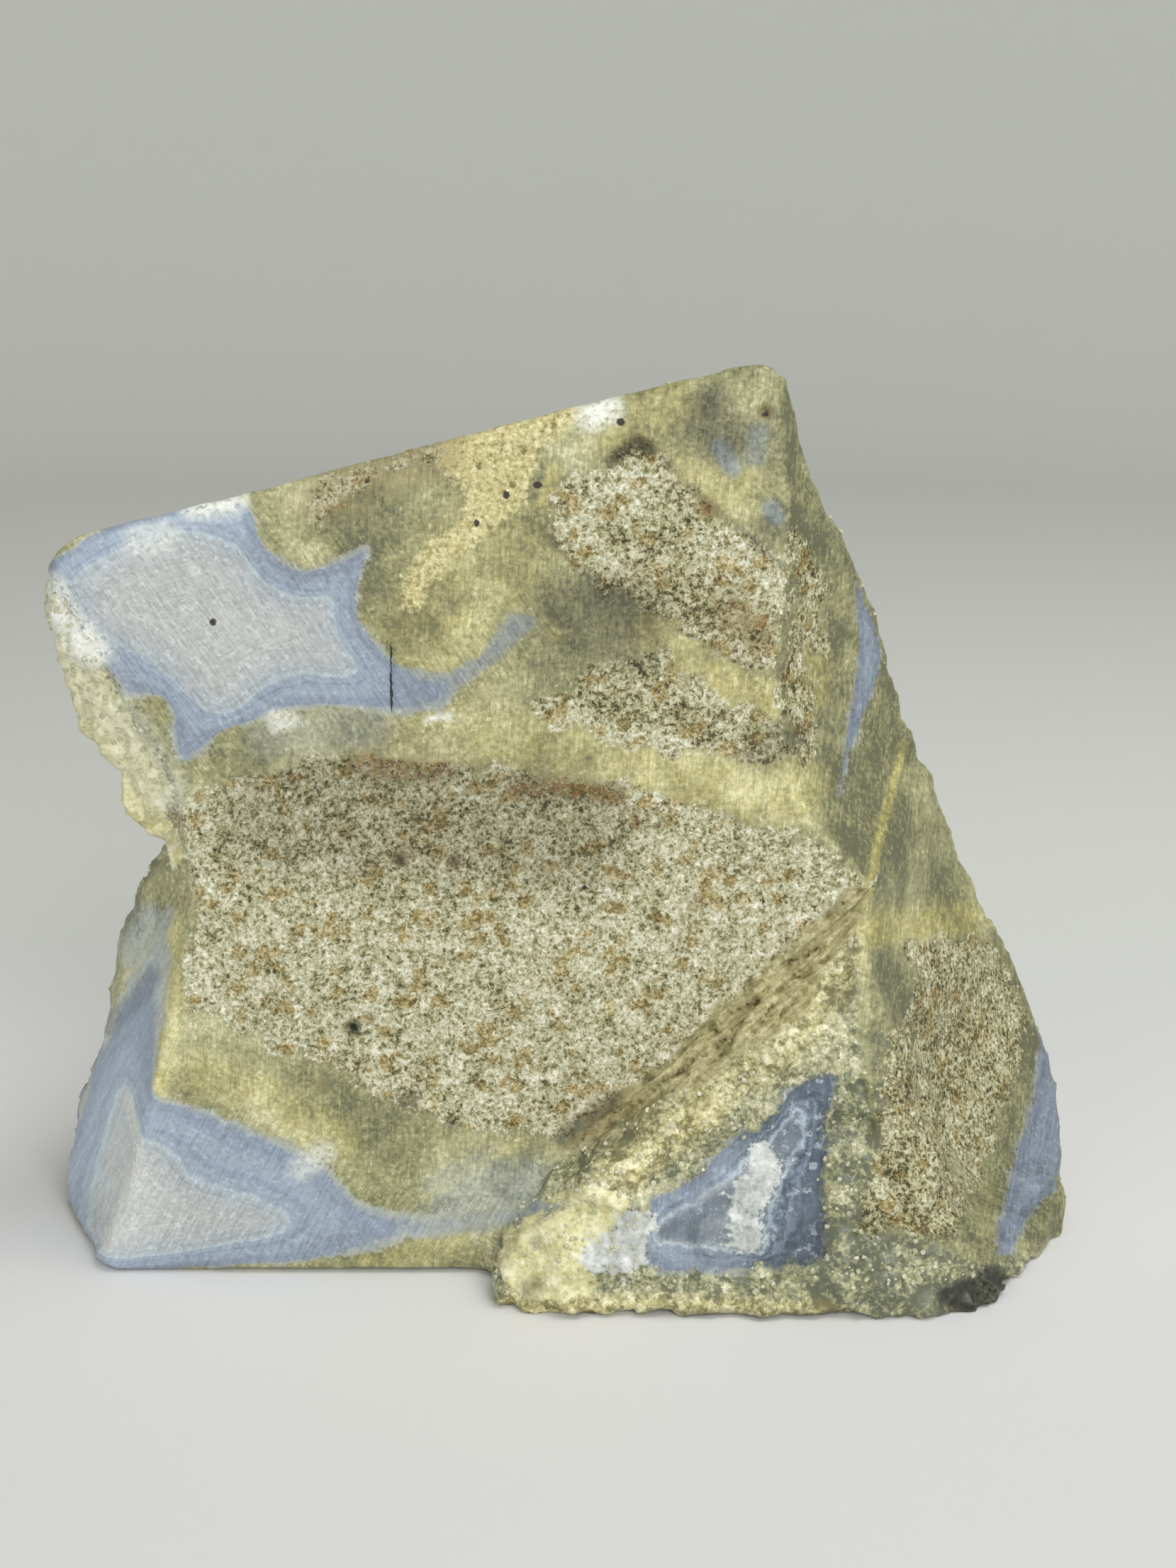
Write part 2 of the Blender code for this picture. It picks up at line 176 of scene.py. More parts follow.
MIDDLE_FRAGMENT: Outline = (
    (-4.5, 52.5), (-2.0, 55.0), (0.8, 56.7), (3.5, 57.3), (5.7, 57.8), (7.0, 57.0), (9.3, 55.6),
    (11.2, 54.5), (13.4, 53.1), (15.4, 52.2), (16.7, 51.9), (17.2, 49.9), (16.7, 48.5), (14.0, 48.2),
    (11.3, 48.8), (8.5, 49.1), (4.6, 49.4), (1.3, 49.9), (-0.9, 51.1), (-3.1, 51.6),
)
TOP_FRAGMENT: Outline = (
    (-23.6, 71.1), (-22.4, 72.1), (-19.4, 73.3), (-15.8, 74.7), (-12.3, 75.4), (-11.1, 75.2),
    (-13.5, 74.0), (-15.9, 72.8), (-18.9, 71.7), (-21.3, 70.2), (-23.1, 69.1), (-23.8, 69.9),
)
STRIP_FRAGMENT: Outline = (
    (17.7, 68.5), (18.6, 67.4), (19.7, 64.2), (20.3, 60.6), (20.2, 57.8), (19.1, 57.3), (18.2, 59.8),
    (17.6, 63.1), (17.2, 66.1), (17.1, 68.2),
)
GREY_FRAGMENT: Outline = (
    (15.8, 55.5), (16.6, 57.3), (16.9, 60.4), (17.5, 60.6), (18.1, 57.9), (18.8, 56.1), (19.4, 52.4),
    (19.3, 49.4), (18.6, 47.4), (17.6, 49.3), (16.6, 52.4),
)
RIGHT_FRAGMENT: Outline = (
    (27.3, 32.1), (29.7, 31.9), (32.8, 32.5), (35.9, 31.5), (36.4, 29.7), (37.9, 27.1), (38.8, 23.8),
    (38.5, 21.2), (37.6, 17.8), (36.7, 14.8), (35.8, 11.7), (34.9, 8.6), (33.9, 5.5), (33.2, 2.8),
    (30.8, 3.5), (28.3, 3.9), (24.7, 4.1), (24.6, 6.3), (25.6, 9.4), (26.1, 14.4), (26.3, 18.9),
    (26.9, 22.3), (28.2, 24.9), (29.4, 26.8), (29.5, 29.0), (28.0, 30.5),
)
SEAM_OUTLINE: Outline = (
    (-12.9, 74.7), (-12.3, 76.3), (-7.0, 77.8), (-4.1, 78.3), (-0.9, 79.0), (1.3, 78.6), (1.8, 77.6),
    (-0.9, 77.1), (-2.5, 76.3), (-3.6, 75.0), (-4.6, 72.9), (-5.2, 71.0), (-6.5, 69.6), (-7.9, 68.8),
    (-8.7, 67.5), (-10.6, 66.4), (-12.3, 64.7), (-13.7, 63.1), (-14.8, 61.6), (-15.6, 62.0),
    (-15.5, 63.6), (-14.7, 65.3), (-13.0, 67.5), (-11.1, 68.5), (-10.0, 69.9), (-9.7, 71.2),
    (-11.3, 72.3), (-12.1, 73.4),
)
QUARTZ_HEART: Outline = (
    (14.3, 11.1), (16.3, 12.8), (17.9, 11.9), (17.2, 9.4), (16.2, 6.3), (16.0, 2.6), (15.6, 2.0),
    (12.9, 2.4), (12.5, 4.7), (12.8, 6.7), (12.4, 8.6),
)
PALE_FAN: Outline = (
    (-0.0, 2.4), (2.1, 4.7), (3.9, 6.7), (5.7, 6.3), (5.3, 3.5), (5.0, 0.8), (2.8, -0.0), (0.1, 0.4),
    (-0.6, 1.4),
)
QUARTZ_KNOB: Outline = (
    (-5.2, 6.9), (-1.8, 8.4), (1.0, 8.6), (3.9, 7.6), (3.4, 5.6), (0.6, 2.8), (-0.4, 0.6), (1.6, -1.4),
    (-2.0, -3.0), (-6.4, -2.4), (-8.4, 0.2), (-8.0, 3.2),
)
LEDGE_CRUST: Outline = (
    (24.2, 37.7), (19.3, 33.0), (17.8, 31.4), (14.6, 28.1), (10.6, 25.0), (9.1, 22.9), (6.3, 19.9),
    (3.1, 18.0), (1.0, 15.5), (-1.5, 12.8), (-0.4, 12.5), (2.1, 14.4), (4.9, 16.5), (7.7, 17.6),
    (10.5, 19.1), (14.0, 22.1), (16.0, 23.6), (18.5, 24.4), (19.5, 26.2), (20.8, 29.9), (23.9, 34.3),
)
LUMP_OUTLINE: Outline = (
    (24.1, 34.1), (20.8, 29.7), (19.6, 26.2), (18.5, 24.2), (14.0, 21.9), (10.5, 18.9), (4.9, 16.3),
    (2.1, 14.4), (-1.5, 12.5), (-3.6, 10.2), (-5.0, 7.4), (-6.8, 5.5), (-8.6, 3.1), (-9.8, 0.8),
    (-8.7, -3.2), (-5.1, -5.2), (9.4, -5.2), (23.9, -5.6), (34.8, -5.6), (39.7, -3.2), (42.4, 1.6),
    (39.5, 2.4), (37.4, 1.0), (35.2, 0.4), (33.2, 2.6), (28.3, 3.7), (24.5, 3.9), (25.6, 9.4),
    (25.5, 12.5), (25.0, 18.2), (23.7, 23.8), (23.9, 29.4),
)
WING_OUTLINE: Outline = (
    (-46.5, 63.4), (-44.1, 62.9), (-43.5, 60.9), (-42.6, 58.4), (-41.2, 56.8), (-40.1, 54.7),
    (-38.8, 52.3), (-37.3, 49.4), (-36.0, 46.7), (-35.4, 44.8), (-36.6, 44.1), (-35.4, 41.9),
    (-34.6, 39.6), (-36.4, 38.4), (-47.0, 46.7), (-48.0, 59.2),
)
DARK_TOE: Outline = (
    (32.0, -1.6), (34.6, -0.4), (36.7, 1.0), (38.3, -0.0), (39.7, -2.2), (36.2, -4.2), (33.6, -4.2),
    (32.2, -3.2),
)
RIGHT_FACES: Outline = (
    (15.6, 80.9), (16.2, 74.7), (16.8, 69.5), (16.3, 62.2), (16.0, 56.1), (16.8, 49.9), (19.0, 43.6),
    (24.6, 37.1), (24.8, 26.0), (25.6, 12.0), (30.0, 3.0), (60.0, 3.0), (60.0, 81.0),
)
# Painted shade inside small holes and cracks: x and z of the middle, half width and half height, in mm
HOLE_SHADOWS: tuple[tuple[float, float, float, float], ...] = (
    (-31.7, 60.6, 0.34, 0.34), (2.7, 77.4, 0.38, 0.34), (-0.3, 36.9, 0.30, 0.30), (14.7, 78.0, 0.30, 0.30),
    (-20.9, 23.9, 0.40, 0.40), (-16.8, 54.6, 0.15, 2.2), (-16.75, 57.6, 0.09, 1.6), (-4.2, 72.2, 0.45, 0.35),
    (-6.8, 71.4, 0.35, 0.40), (-9.3, 69.0, 0.30, 0.35),
)
FRAGMENTS: tuple[Outline, ...] = (
    GREAT_FRAGMENT, UPPER_FRAGMENT, MIDDLE_FRAGMENT, TOP_FRAGMENT, STRIP_FRAGMENT, GREY_FRAGMENT,
    RIGHT_FRAGMENT,
)


@dataclass(frozen=True)
class Pocket:
    """An agate pocket: its wall, the pale line inside it if it has one, and how its saw marks run."""

    wall: Outline
    line: Outline | None = None
    band_width: float = 2.6
    slate: float = 0.0
    hatch_angle: float = 85.0
    line_strength: tuple[float, float] = (0.0, 0.0)


POCKETS: tuple[Pocket, ...] = (
    Pocket(UPPER_WALL, UPPER_LINE, hatch_angle=-58.0, line_strength=(0.15, 0.9)),
    Pocket(LOWER_WALL, LOWER_LINE, hatch_angle=62.0, line_strength=(0.3, 0.45)),
    Pocket(TRIANGLE_WALL, TRIANGLE_LINE, slate=1.0, line_strength=(0.35, 0.2)),
    Pocket(LENS_WALL, None, band_width=1.6),
    Pocket(EDGE_BAND_WALL, None, band_width=3.4),
)


# Soft strokes on the chart for each channel: strength, radius in mm, and the points that it runs through
STROKES: dict[Channel, tuple[tuple[float, float, Outline], ...]] = {
    Channel.TONE_AND_SHADE: (
        # Painted shade: the first stroke darkens the lump's lower right; the other strokes are tone that
        # differs from place to place
        (-0.55, 5.5, ((22.0, 0.5), (28.0, 0.0), (35.0, -1.5))),
        (-0.35, 3, ((24.0, 15.0), (24.4, 6.0), (27.0, 2.0))),
        (0.25, 3.2, ((-43.0, 67.0), (-35.0, 70.0), (-30.0, 70.5))),
        (0.3, 7, ((-46.0, 4.0), (-45.0, 14.0), (-40.0, 28.0))),
        (0.12, 4, ((-34.0, 14.0), (-24.0, 9.0), (-16.0, 5.0))), (-0.15, 6, ((2.0, 60.0), (-8.0, 64.0))),
        (-0.15, 5, ((-14.0, 60.0), (-12.0, 57.0))),
        (-0.3, 2.3, ((9.7, 70.0), (4.0, 68.0), (9.0, 63.0), (14.0, 60.0))),
        (-0.3, 1.8, ((0.0, 53.5), (8.0, 52.5), (14.0, 50.5))), (0.2, 3, ((31.0, 44.0), (36.0, 34.0))),
        (0.3, 5, ((-46.0, 12.0), (-42.0, 27.0))), (0.12, 1.6, ((23.6, 61.0), (24.0, 56.0), (22.4, 48.0))),
        (-0.16, 4.5, ((18.5, 76.0), (20.5, 68.0))), (-0.34, 2, ((9.6, 78.6), (12.4, 73.6), (16.4, 68.4))),
        (-0.22, 5, ((-6.0, 55.5), (0.0, 60.0), (6.0, 59.0))), (-0.15, 4, ((-24.0, 67.0), (-18.0, 70.0))),
    ),
    Channel.PIT: (
        (0.7, 0.5, ((-0.2, 36.9),)), (0.7, 0.8, ((-20.9, 23.8),)), (0.6, 0.6, ((14.7, 78.1),)),
        (0.8, 0.55, ((1.9, 74.0), (4.0, 75.7), (5.1, 75.0))), (0.5, 0.3, ((-16.8, 58.4), (-16.9, 53.0))),
    ),
    Channel.DARK: (
        # Painted shade: the first stroke and those at (-2.4, 13.4), (-20.9, 23.8) and along z = -4.3 darken a
        # pit, the crevice at the ledge's lower end, another pit and the lump's foot; the others are dark
        # grains and patches
        (0.8, 0.55, ((1.9, 74.0), (4.0, 75.7), (5.1, 75.0))),
        (0.45, 0.35, ((6.1, 74.4), (7.7, 72.9), (9.1, 71.4), (12.6, 68.6), (16.2, 65.4))),
        (0.35, 0.3, ((-4.1, 68.6), (-0.9, 65.1), (4.0, 61.9), (10.0, 58.6), (13.9, 56.6))),
        (0.55, 0.9, ((-2.4, 13.4), (1.0, 16.0), (2.6, 17.2))), (0.45, 4.4, ((3.0, 60.4), (-0.5, 60.6))),
        (0.5, 2.2, ((10.1, 78.3), (11.2, 76.0))), (0.7, 0.8, ((-16.3, 39.6),)), (0.6, 0.8, ((-11.7, 39.4),)),
        (0.8, 0.8, ((-20.9, 23.8),)), (0.5, 1, ((-16.0, 17.2),)), (0.5, 0.8, ((-12.1, 14.8),)),
        (0.5, 1.3, ((-5.2, -1.5),)), (0.45, 0.8, ((-4.8, 3.3),)),
        (0.3, 7, ((-26.0, 44.0), (-14.0, 43.5), (-2.0, 42.5))), (0.3, 2.4, ((15.0, 48.8), (16.6, 50.2))),
        (0.35, 1, ((-42.6, 24.2), (-40.0, 26.6), (-38.4, 29.0))), (0.9, 1.5, ((34.0, -2.6), (37.2, -1.4))),
        (0.6, 0.7, ((0.5, -4.3), (12.0, -4.2), (24.0, -4.6))),
    ),
    Channel.RUST: (
        (1, 0.45, ((-18.8, 48.9), (-17.2, 48.2), (-14.6, 48.0), (-12.2, 48.0))),
        (0.7, 1.1, ((-20.0, 48.2), (-17.0, 47.4), (-12.5, 47.3))),
        (0.8, 1, ((-6.2, 46.0), (-3.1, 46.2), (-0.4, 45.8), (2.4, 45.4))), (0.8, 0.9, ((9.9, 70.0),)),
        (0.8, 0.7, ((14.7, 78.1),)), (0.55, 1.9, ((12.3, 61.3), (14.0, 59.8))), (0.6, 0.8, ((9.4, 35.8),)),
        (0.8, 0.7, ((-19.4, 25.0),)), (0.7, 0.9, ((-16.3, 39.6),)), (0.6, 0.9, ((-11.7, 39.4),)),
        (0.4, 2.6, ((-22.0, 71.0), (-17.5, 73.0), (-12.5, 75.0))), (0.35, 2, ((-0.5, 13.6), (3.8, 16.6))),
        (0.5, 0.7, ((-23.6, 18.3),)), (0.6, 0.5, ((-26.2, 51.8),)),
    ),
    Channel.YELLOW: (
        (1, 1.3, ((-26.1, 51.8),)), (0.7, 1.6, ((-11.2, 60.1), (-10.4, 60.6))), (0.8, 0.8, ((-2.8, 59.5),)),
        (0.45, 6.5, ((-12.3, 60.0), (-8.0, 66.0))), (0.6, 3, ((-8.0, 49.8), (-4.0, 50.0), (0.0, 48.6))),
        (0.75, 3.2, ((3.0, 47.8), (10.4, 46.6), (17.5, 45.6))), (0.9, 2.2, ((11.5, 55.5), (14.9, 53.3))),
        (0.6, 2.5, ((5.6, 60.0), (9.0, 57.6))),
        (0.9, 0.9, ((-36.3, 33.8), (-36.9, 26.0), (-37.6, 20.5), (-38.7, 16.9))),
        (0.6, 2.2, ((-35.0, 20.0), (-29.0, 17.6), (-22.5, 13.2))),
        (0.9, 0.6, ((-6.0, 13.1), (-9.6, 10.6), (-14.7, 7.5))), (1, 0.7, ((-2.8, 73.2), (-3.8, 70.5))),
        (1, 1.4, ((-38.4, 45.6), (-37.6, 44.6))), (0.8, 1.6, ((3.5, 9.4), (7.5, 13.0), (11.0, 16.0))),
        (0.8, 2, ((24.5, 33.2), (28.5, 33.6), (33.0, 34.0))),
        (0.6, 3, ((6.0, 72.8), (10.5, 70.8), (12.0, 72.0))), (0.6, 2.4, ((2.0, 76.6), (7.0, 79.0))),
        (0.6, 1.3, ((18.6, 61.0), (19.4, 57.2), (19.4, 54.0))),
        (0.5, 1.5, ((-12.0, 3.2), (-20.0, 1.6), (-14.6, 2.4))),
        (0.35, 4, ((-25.0, 50.0), (-16.0, 50.6), (-8.0, 50.6))),
        (0.6, 2.4, ((3.0, 10.0), (10.0, 17.0), (18.0, 22.6), (22.5, 30.0))),
        (0.8, 1.6, ((-7.0, -3.4), (6.0, -3.6), (22.0, -4.2))),
        (1, 0.45, ((27.1, 49.9), (25.1, 41.0), (24.6, 37.1), (23.9, 34.5))),
    ),
    Channel.PALE: (
        (1, 1.7, ((-32.8, 70.8), (-30.0, 71.2))), (1, 1.9, ((-45.4, 63.0), (-44.4, 60.8), (-42.2, 58.0))),
        (0.7, 0.9, ((-26.6, 51.6), (-25.8, 51.9))),
        (0.35, 2.4, ((-43.6, 57.0), (-39.6, 51.0), (-36.6, 45.6))), (0.9, 1.4, ((0.2, 77.8), (1.7, 78.4))),
        (0.55, 1.3, ((-25.9, 10.4), (-23.8, 12.0))),
        (0.9, 0.25, ((-13.9, 52.0), (-12.9, 52.3), (-11.6, 52.3))),
        (0.5, 0.5, ((-41.2, 17.4), (-40.4, 12.0), (-42.4, 6.4), (-44.0, 2.4))),
        (0.5, 1.5, ((-37.6, 67.4), (-35.4, 68.0))), (0.6, 0.9, ((-26.9, 52.2), (-25.4, 52.0))),
    ),
    Channel.BLUE: (
        (0.8, 0.9, ((11.0, 75.2), (12.0, 73.6))), (0.7, 0.8, ((15.2, 70.2), (15.8, 69.4))),
        (0.5, 1, ((14.1, 76.4), (13.8, 74.4))), (0.5, 3.4, ((-8.6, 9.0), (-12.0, 7.4), (-5.5, 8.6))),
        (0.35, 2.6, ((-27.0, 50.6), (-19.0, 51.6))), (0.7, 1.6, ((-40.0, 31.0), (-38.5, 34.0))),
    ),
}


def rounded(outline: Outline, times: int = 2) -> np.ndarray:
    """The outline with its corners cut off, so that it bends as a grown wall does.

    Args:
        outline: Its corners, in mm on the chart.
        times: How often each corner is cut.

    Returns:
        The new corners, one row each.
    """
    corners = np.array(outline, float)
    for _ in range(times):
        following = np.roll(corners, -1, axis=0)
        corners = np.stack((0.75 * corners + 0.25 * following, 0.25 * corners + 0.75 * following), axis=1)
        corners = corners.reshape(-1, 2)
    return corners


def distance_to(points: np.ndarray, corners: np.ndarray, closed: bool = True) -> np.ndarray:
    """How far each point is from a line through the corners, in mm."""
    best = np.full(len(points), 1e9)
    ends = np.roll(corners, -1, axis=0)
    last = len(corners) if closed or len(corners) == 1 else len(corners) - 1
    for start, end in zip(corners[:last], ends[:last]):
        along = end - start
        share = np.clip((points - start) @ along / max(along @ along, 1e-9), 0, 1)
        best = np.minimum(best, ((points - start - share[:, None] * along) ** 2).sum(axis=1))
    return np.sqrt(best)


def depth_inside(points: np.ndarray, corners: np.ndarray) -> np.ndarray:
    """How deep each point lies inside a closed outline, in mm, below zero outside it."""
    inside = np.zeros(len(points), bool)
    for start, end in zip(corners, np.roll(corners, -1, axis=0)):
        rise = end[1] - start[1]
        if rise == 0:
            continue
        beside = points[:, 0] < start[0] + (points[:, 1] - start[1]) / rise * (end[0] - start[0])
        inside ^= ((start[1] > points[:, 1]) != (end[1] > points[:, 1])) & beside
    return np.where(inside, 1.0, -1.0) * distance_to(points, corners)


def smooth_step(value: np.ndarray) -> np.ndarray:
    """A soft step from 0 to 1 as the value goes from 0 to 1."""
    value = np.clip(value, 0.0, 1.0)
    return value * value * (3 - 2 * value)


def relaxed(values: np.ndarray, edges: np.ndarray, times: int) -> np.ndarray:
    """The values of a mesh's points, averaged with those of their neighbours.

    Args:
        values: One number or one row of numbers for each point.
        edges: The two points of each edge.
        times: How often the values are averaged.

    Returns:
        The averaged values, in the same form.
    """
    columns = values.reshape(len(values), -1).astype(float)
    counts = np.maximum(np.bincount(edges.ravel(), minlength=len(values)), 1)
    for _ in range(times):
        for column in columns.T:
            total = np.bincount(edges[:, 0], column[edges[:, 1]], len(values))
            total += np.bincount(edges[:, 1], column[edges[:, 0]], len(values))
            column += (total / counts - column) * 0.5
    return columns.reshape(values.shape)


@dataclass
class Chart:
    """Carries points of the stone along the line to the eye, on to the plane of the saw cut."""

    eye: np.ndarray = field(default_factory=lambda: EYE.copy())

    def place(self, points: np.ndarray) -> np.ndarray:
        """Where the points, in mm in the drawing, come to lie on the plane (x, z)."""
        share = self.eye[1] / (self.eye[1] - points[:, 1])
        return (self.eye + (points - self.eye) * share[:, None])[:, (0, 2)]

    def facing(self, points: np.ndarray, normals: np.ndarray) -> np.ndarray:
        """How squarely each point faces the eye, 1 straight on and below 0 turned away."""
        sight = self.eye - points
        return (normals * sight).sum(axis=1) / np.linalg.norm(sight, axis=1)


@dataclass
class Markings:
    """Says for each point what the stone is made of there, and how much shade is painted on it.

    The sizes of the hidden fragments are those of the relief that the solid's back has, in mm.
    """

    fragment_size: float = 21.0
    vein: float = 0.17
    top_lean: tuple[float, float] = (0.30, -0.35)
    blend_depth: float = 9.0
    stroke_fade: float = 1.35
    chart: Chart = field(default_factory=Chart)

    def from_front(self, spots: np.ndarray) -> dict[Channel, np.ndarray]:
        """The channels that the outlines on the chart give.

        Args:
            spots: Places on the chart, in mm.

        Returns:
            One array for each channel.
        """
        made = {channel: np.zeros(len(spots)) for channel in Channel}
        depths = [depth_inside(spots, rounded(outline, 1)) for outline in FRAGMENTS]
        made[Channel.DOLERITE] = np.max(depths, axis=0)
        made[Channel.AGATE] = np.full(len(spots), -99.0)
        for pocket in POCKETS:
            wall = depth_inside(spots, rounded(pocket.wall))
            band = wall / pocket.band_width
            if pocket.line:
                line = depth_inside(spots, rounded(pocket.line))
                between = wall / np.maximum(wall - np.minimum(line, 0), 1e-3)
                band = np.where(line > 0, 1 + line / pocket.band_width, between)
            nearer = wall > made[Channel.AGATE]
            made[Channel.AGATE] = np.where(nearer, wall, made[Channel.AGATE])
            made[Channel.BAND] = np.where(nearer, band, made[Channel.BAND])
            made[Channel.SLATE] = np.where(nearer, pocket.slate, made[Channel.SLATE])
            left, right = spots[nearer, 0].min(), spots[nearer, 0].max()
            along = np.clip((spots[:, 0] - left) / (right - left), 0, 1)
            strength = pocket.line_strength[0] + (pocket.line_strength[1] - pocket.line_strength[0]) * along
            made[Channel.LINE] = np.where(nearer, strength, made[Channel.LINE])
        made[Channel.SEAM] = depth_inside(spots, rounded(SEAM_OUTLINE, 1))
        right_arm = 0.3 + 0.7 * smooth_step((spots[:, 0] - 11.5) / 5)
        made[Channel.SLATE] *= np.maximum(right_arm, smooth_step((made[Channel.BAND] - 1.0) / 0.3))
        fan = depth_inside(spots, rounded(PALE_FAN, 1))
        made[Channel.QUARTZ] = np.maximum(depth_inside(spots, rounded(QUARTZ_HEART, 1)), fan)
        knob = smooth_step((depth_inside(spots, rounded(QUARTZ_KNOB, 1)) + 0.6) / 1.2)
        made[Channel.CRUST] = depth_inside(spots, rounded(LEDGE_CRUST, 1))
        lump = depth_inside(spots, rounded(LUMP_OUTLINE, 1))
        wing = depth_inside(spots, rounded(WING_OUTLINE, 1))
        made[Channel.ROUGH] = smooth_step((np.maximum(lump, wing) + 0.4) / 0.8)
        made[Channel.CREAM] = np.maximum(knob, smooth_step((wing + 0.5) / 1.4))
        # Painted shade: the right faces, the same stone as the front, are painted darker, except on the lump
        right = smooth_step((depth_inside(spots, np.array(RIGHT_FACES)) + 0.1) / 0.5)
        made[Channel.TONE_AND_SHADE] = -0.38 * right * (1 - smooth_step(lump + 0.5))
        toe = smooth_step((depth_inside(spots, rounded(DARK_TOE, 1)) + 0.5) / 1.0)
        made[Channel.DARK] = toe
        for channel, strokes in STROKES.items():
            for strength, radius, points in strokes:
                gap = distance_to(spots, np.array(points), closed=False)
                soft = smooth_step(self.stroke_fade - gap / radius) * strength
                both = np.add if channel is Channel.TONE_AND_SHADE else np.maximum
                made[channel] = both(made[channel], soft)
        return made

    def from_fragments(self, points: np.ndarray) -> dict[Channel, np.ndarray]:
        """The channels of surfaces that the chart doesn't show, from the fragments of the stone's relief.

        Args:
            points: Places in the drawing, in mm.

        Returns:
            One array for each channel.
        """
        made = {channel: np.zeros(len(points)) for channel in Channel}
        gap = np.empty(len(points))
        kind = np.empty(len(points))
        for i, point in enumerate(points):
            nearest, cells = noise.voronoi(Vector(point) / self.fragment_size)
            gap[i] = nearest[1] - nearest[0]
            kind[i] = noise.cell(cells[0] * 11.3)
        inside = (gap - self.vein) * self.fragment_size / 2
        pocket = kind > 0.74
        plain = (kind > 0.56) & ~pocket
        made[Channel.DOLERITE] = np.where(pocket | plain, -np.abs(inside) - 1.0, inside)
        vein = 1.0 - np.abs(inside + self.vein * self.fragment_size / 2)
        made[Channel.AGATE] = np.where(pocket, inside, np.where(inside < 0, vein - 0.6, -2.0))
        made[Channel.BAND] = np.maximum(made[Channel.AGATE], 0) / 2.6
        for channel in (Channel.SEAM, Channel.QUARTZ, Channel.CRUST):
            made[channel] = np.full(len(points), -6.0)
        made[Channel.ROUGH] = np.full(len(points), 0.75)
        made[Channel.RIND] = np.ones(len(points))
        return made

    def of(self, points: np.ndarray, normals: np.ndarray, edges: np.ndarray) -> dict[Channel, np.ndarray]:
        """The channels of the whole stone.

        Args:
            points: Places in the drawing, in mm.
            normals: Their outward directions.
            edges: The two points of each edge of the mesh.

        Returns:
            One array for each channel.
        """
        shown = smooth_step((self.chart.facing(points, normals) + 0.02) / 0.14)
        shown = relaxed(shown, edges, 5)
        depth = np.clip(points[:, 1], 0, 14) * (1 - shown)
        spots = self.chart.place(points) + depth[:, None] * np.array(self.top_lean)
        front = np.maximum(shown, 1 - smooth_step((points[:, 1] - 1) / self.blend_depth))
        near, far = self.from_front(spots), self.from_fragments(points)
        made = {channel: near[channel] * front + far[channel] * (1 - front) for channel in Channel}
        made[Channel.ROUGH] = np.where(front > 0.99, near[Channel.ROUGH], made[Channel.ROUGH])
        return made

    def hatch(self, spots: np.ndarray) -> np.ndarray:
        """Places across and along the saw marks, in mm, which turn from one pocket to the next."""
        angle = np.full(len(spots), math.radians(86.0))
        for pocket in POCKETS[:2]:
            near = depth_inside(spots, rounded(pocket.wall, 1)) > -2.0
            angle = np.where(near, math.radians(pocket.hatch_angle), angle)
        across = spots[:, 1] * np.cos(angle) - spots[:, 0] * np.sin(angle)
        along = spots[:, 0] * np.cos(angle) + spots[:, 1] * np.sin(angle)
        return np.stack((across, along, angle * 10), axis=1)


def object_of(name: str, mesh: bpy.types.Mesh) -> bpy.types.Object:
    """A new object of the mesh in the scene, at the origin."""
    made = bpy.data.objects.new(name, mesh)
    bpy.context.scene.collection.objects.link(made)
    return made


def finished_mesh(made: bpy.types.Object) -> bpy.types.Mesh:
    """The object's mesh with its modifiers carried out."""
    bpy.context.view_layer.update()
    graph = bpy.context.evaluated_depsgraph_get()
    return bpy.data.meshes.new_from_object(made.evaluated_get(graph))


def points_of(mesh: bpy.types.Mesh, what: str = "co") -> np.ndarray:
    """The places or the normals of the mesh's points, one row each."""
    values = np.empty(len(mesh.vertices) * 3, np.float32)
    mesh.vertices.foreach_get(what, values)
    return values.reshape(-1, 3).astype(float)


def edges_of(mesh: bpy.types.Mesh) -> np.ndarray:
    """The two points of each edge of the mesh."""
    values = np.empty(len(mesh.edges) * 2, np.int32)
    mesh.edges.foreach_get("vertices", values)
    return values.reshape(-1, 2)


def linear(code: str) -> tuple[float, float, float, float]:
    """The linear colour of an sRGB code such as #8E9FC0."""
    parts = [int(code[i : i + 2], 16) / 255 for i in (1, 3, 5)]
    red, green, blue = (p / 12.92 if p <= 0.04045 else ((p + 0.055) / 1.055) ** 2.4 for p in parts)
    return red, green, blue, 1.0


@dataclass(frozen=True)
class Step:
    """A kind of node with the sockets that its inputs go to, the socket it gives, and its settings."""

    kind: str
    takes: tuple[int, ...] = ()
    gives: int = 0
    settings: tuple[tuple[str, object], ...] = ()


PLACE = Step("ShaderNodeTexCoord", (), 3)
SCALED = Step("ShaderNodeVectorMath", (0, 3), 0, (("operation", "SCALE"),))
STRETCHED, MOVED, APART = (
    Step("ShaderNodeVectorMath", (0, 1), 0, (("operation", name),))
    for name in ("MULTIPLY", "ADD", "SUBTRACT")
)
LENGTH = Step("ShaderNodeVectorMath", (0,), 1, (("operation", "LENGTH"),))
PLUS, MINUS, TIMES, MOST = (
    Step("ShaderNodeMath", (0, 1), 0, (("operation", name),))
    for name in ("ADD", "SUBTRACT", "MULTIPLY", "MAXIMUM")
)
TIMES_PLUS = Step("ShaderNodeMath", (0, 1, 2), 0, (("operation", "MULTIPLY_ADD"),))
SIZE = Step("ShaderNodeMath", (0,), 0, (("operation", "ABSOLUTE"),))
SOFT = Step("ShaderNodeMapRange", (0, 1, 2, 3, 4), 0, (("interpolation_type", "SMOOTHSTEP"),))
BLEND = Step("ShaderNodeMix", (0, 6, 7), 2, (("data_type", "RGBA"), ("clamp_factor", True)))
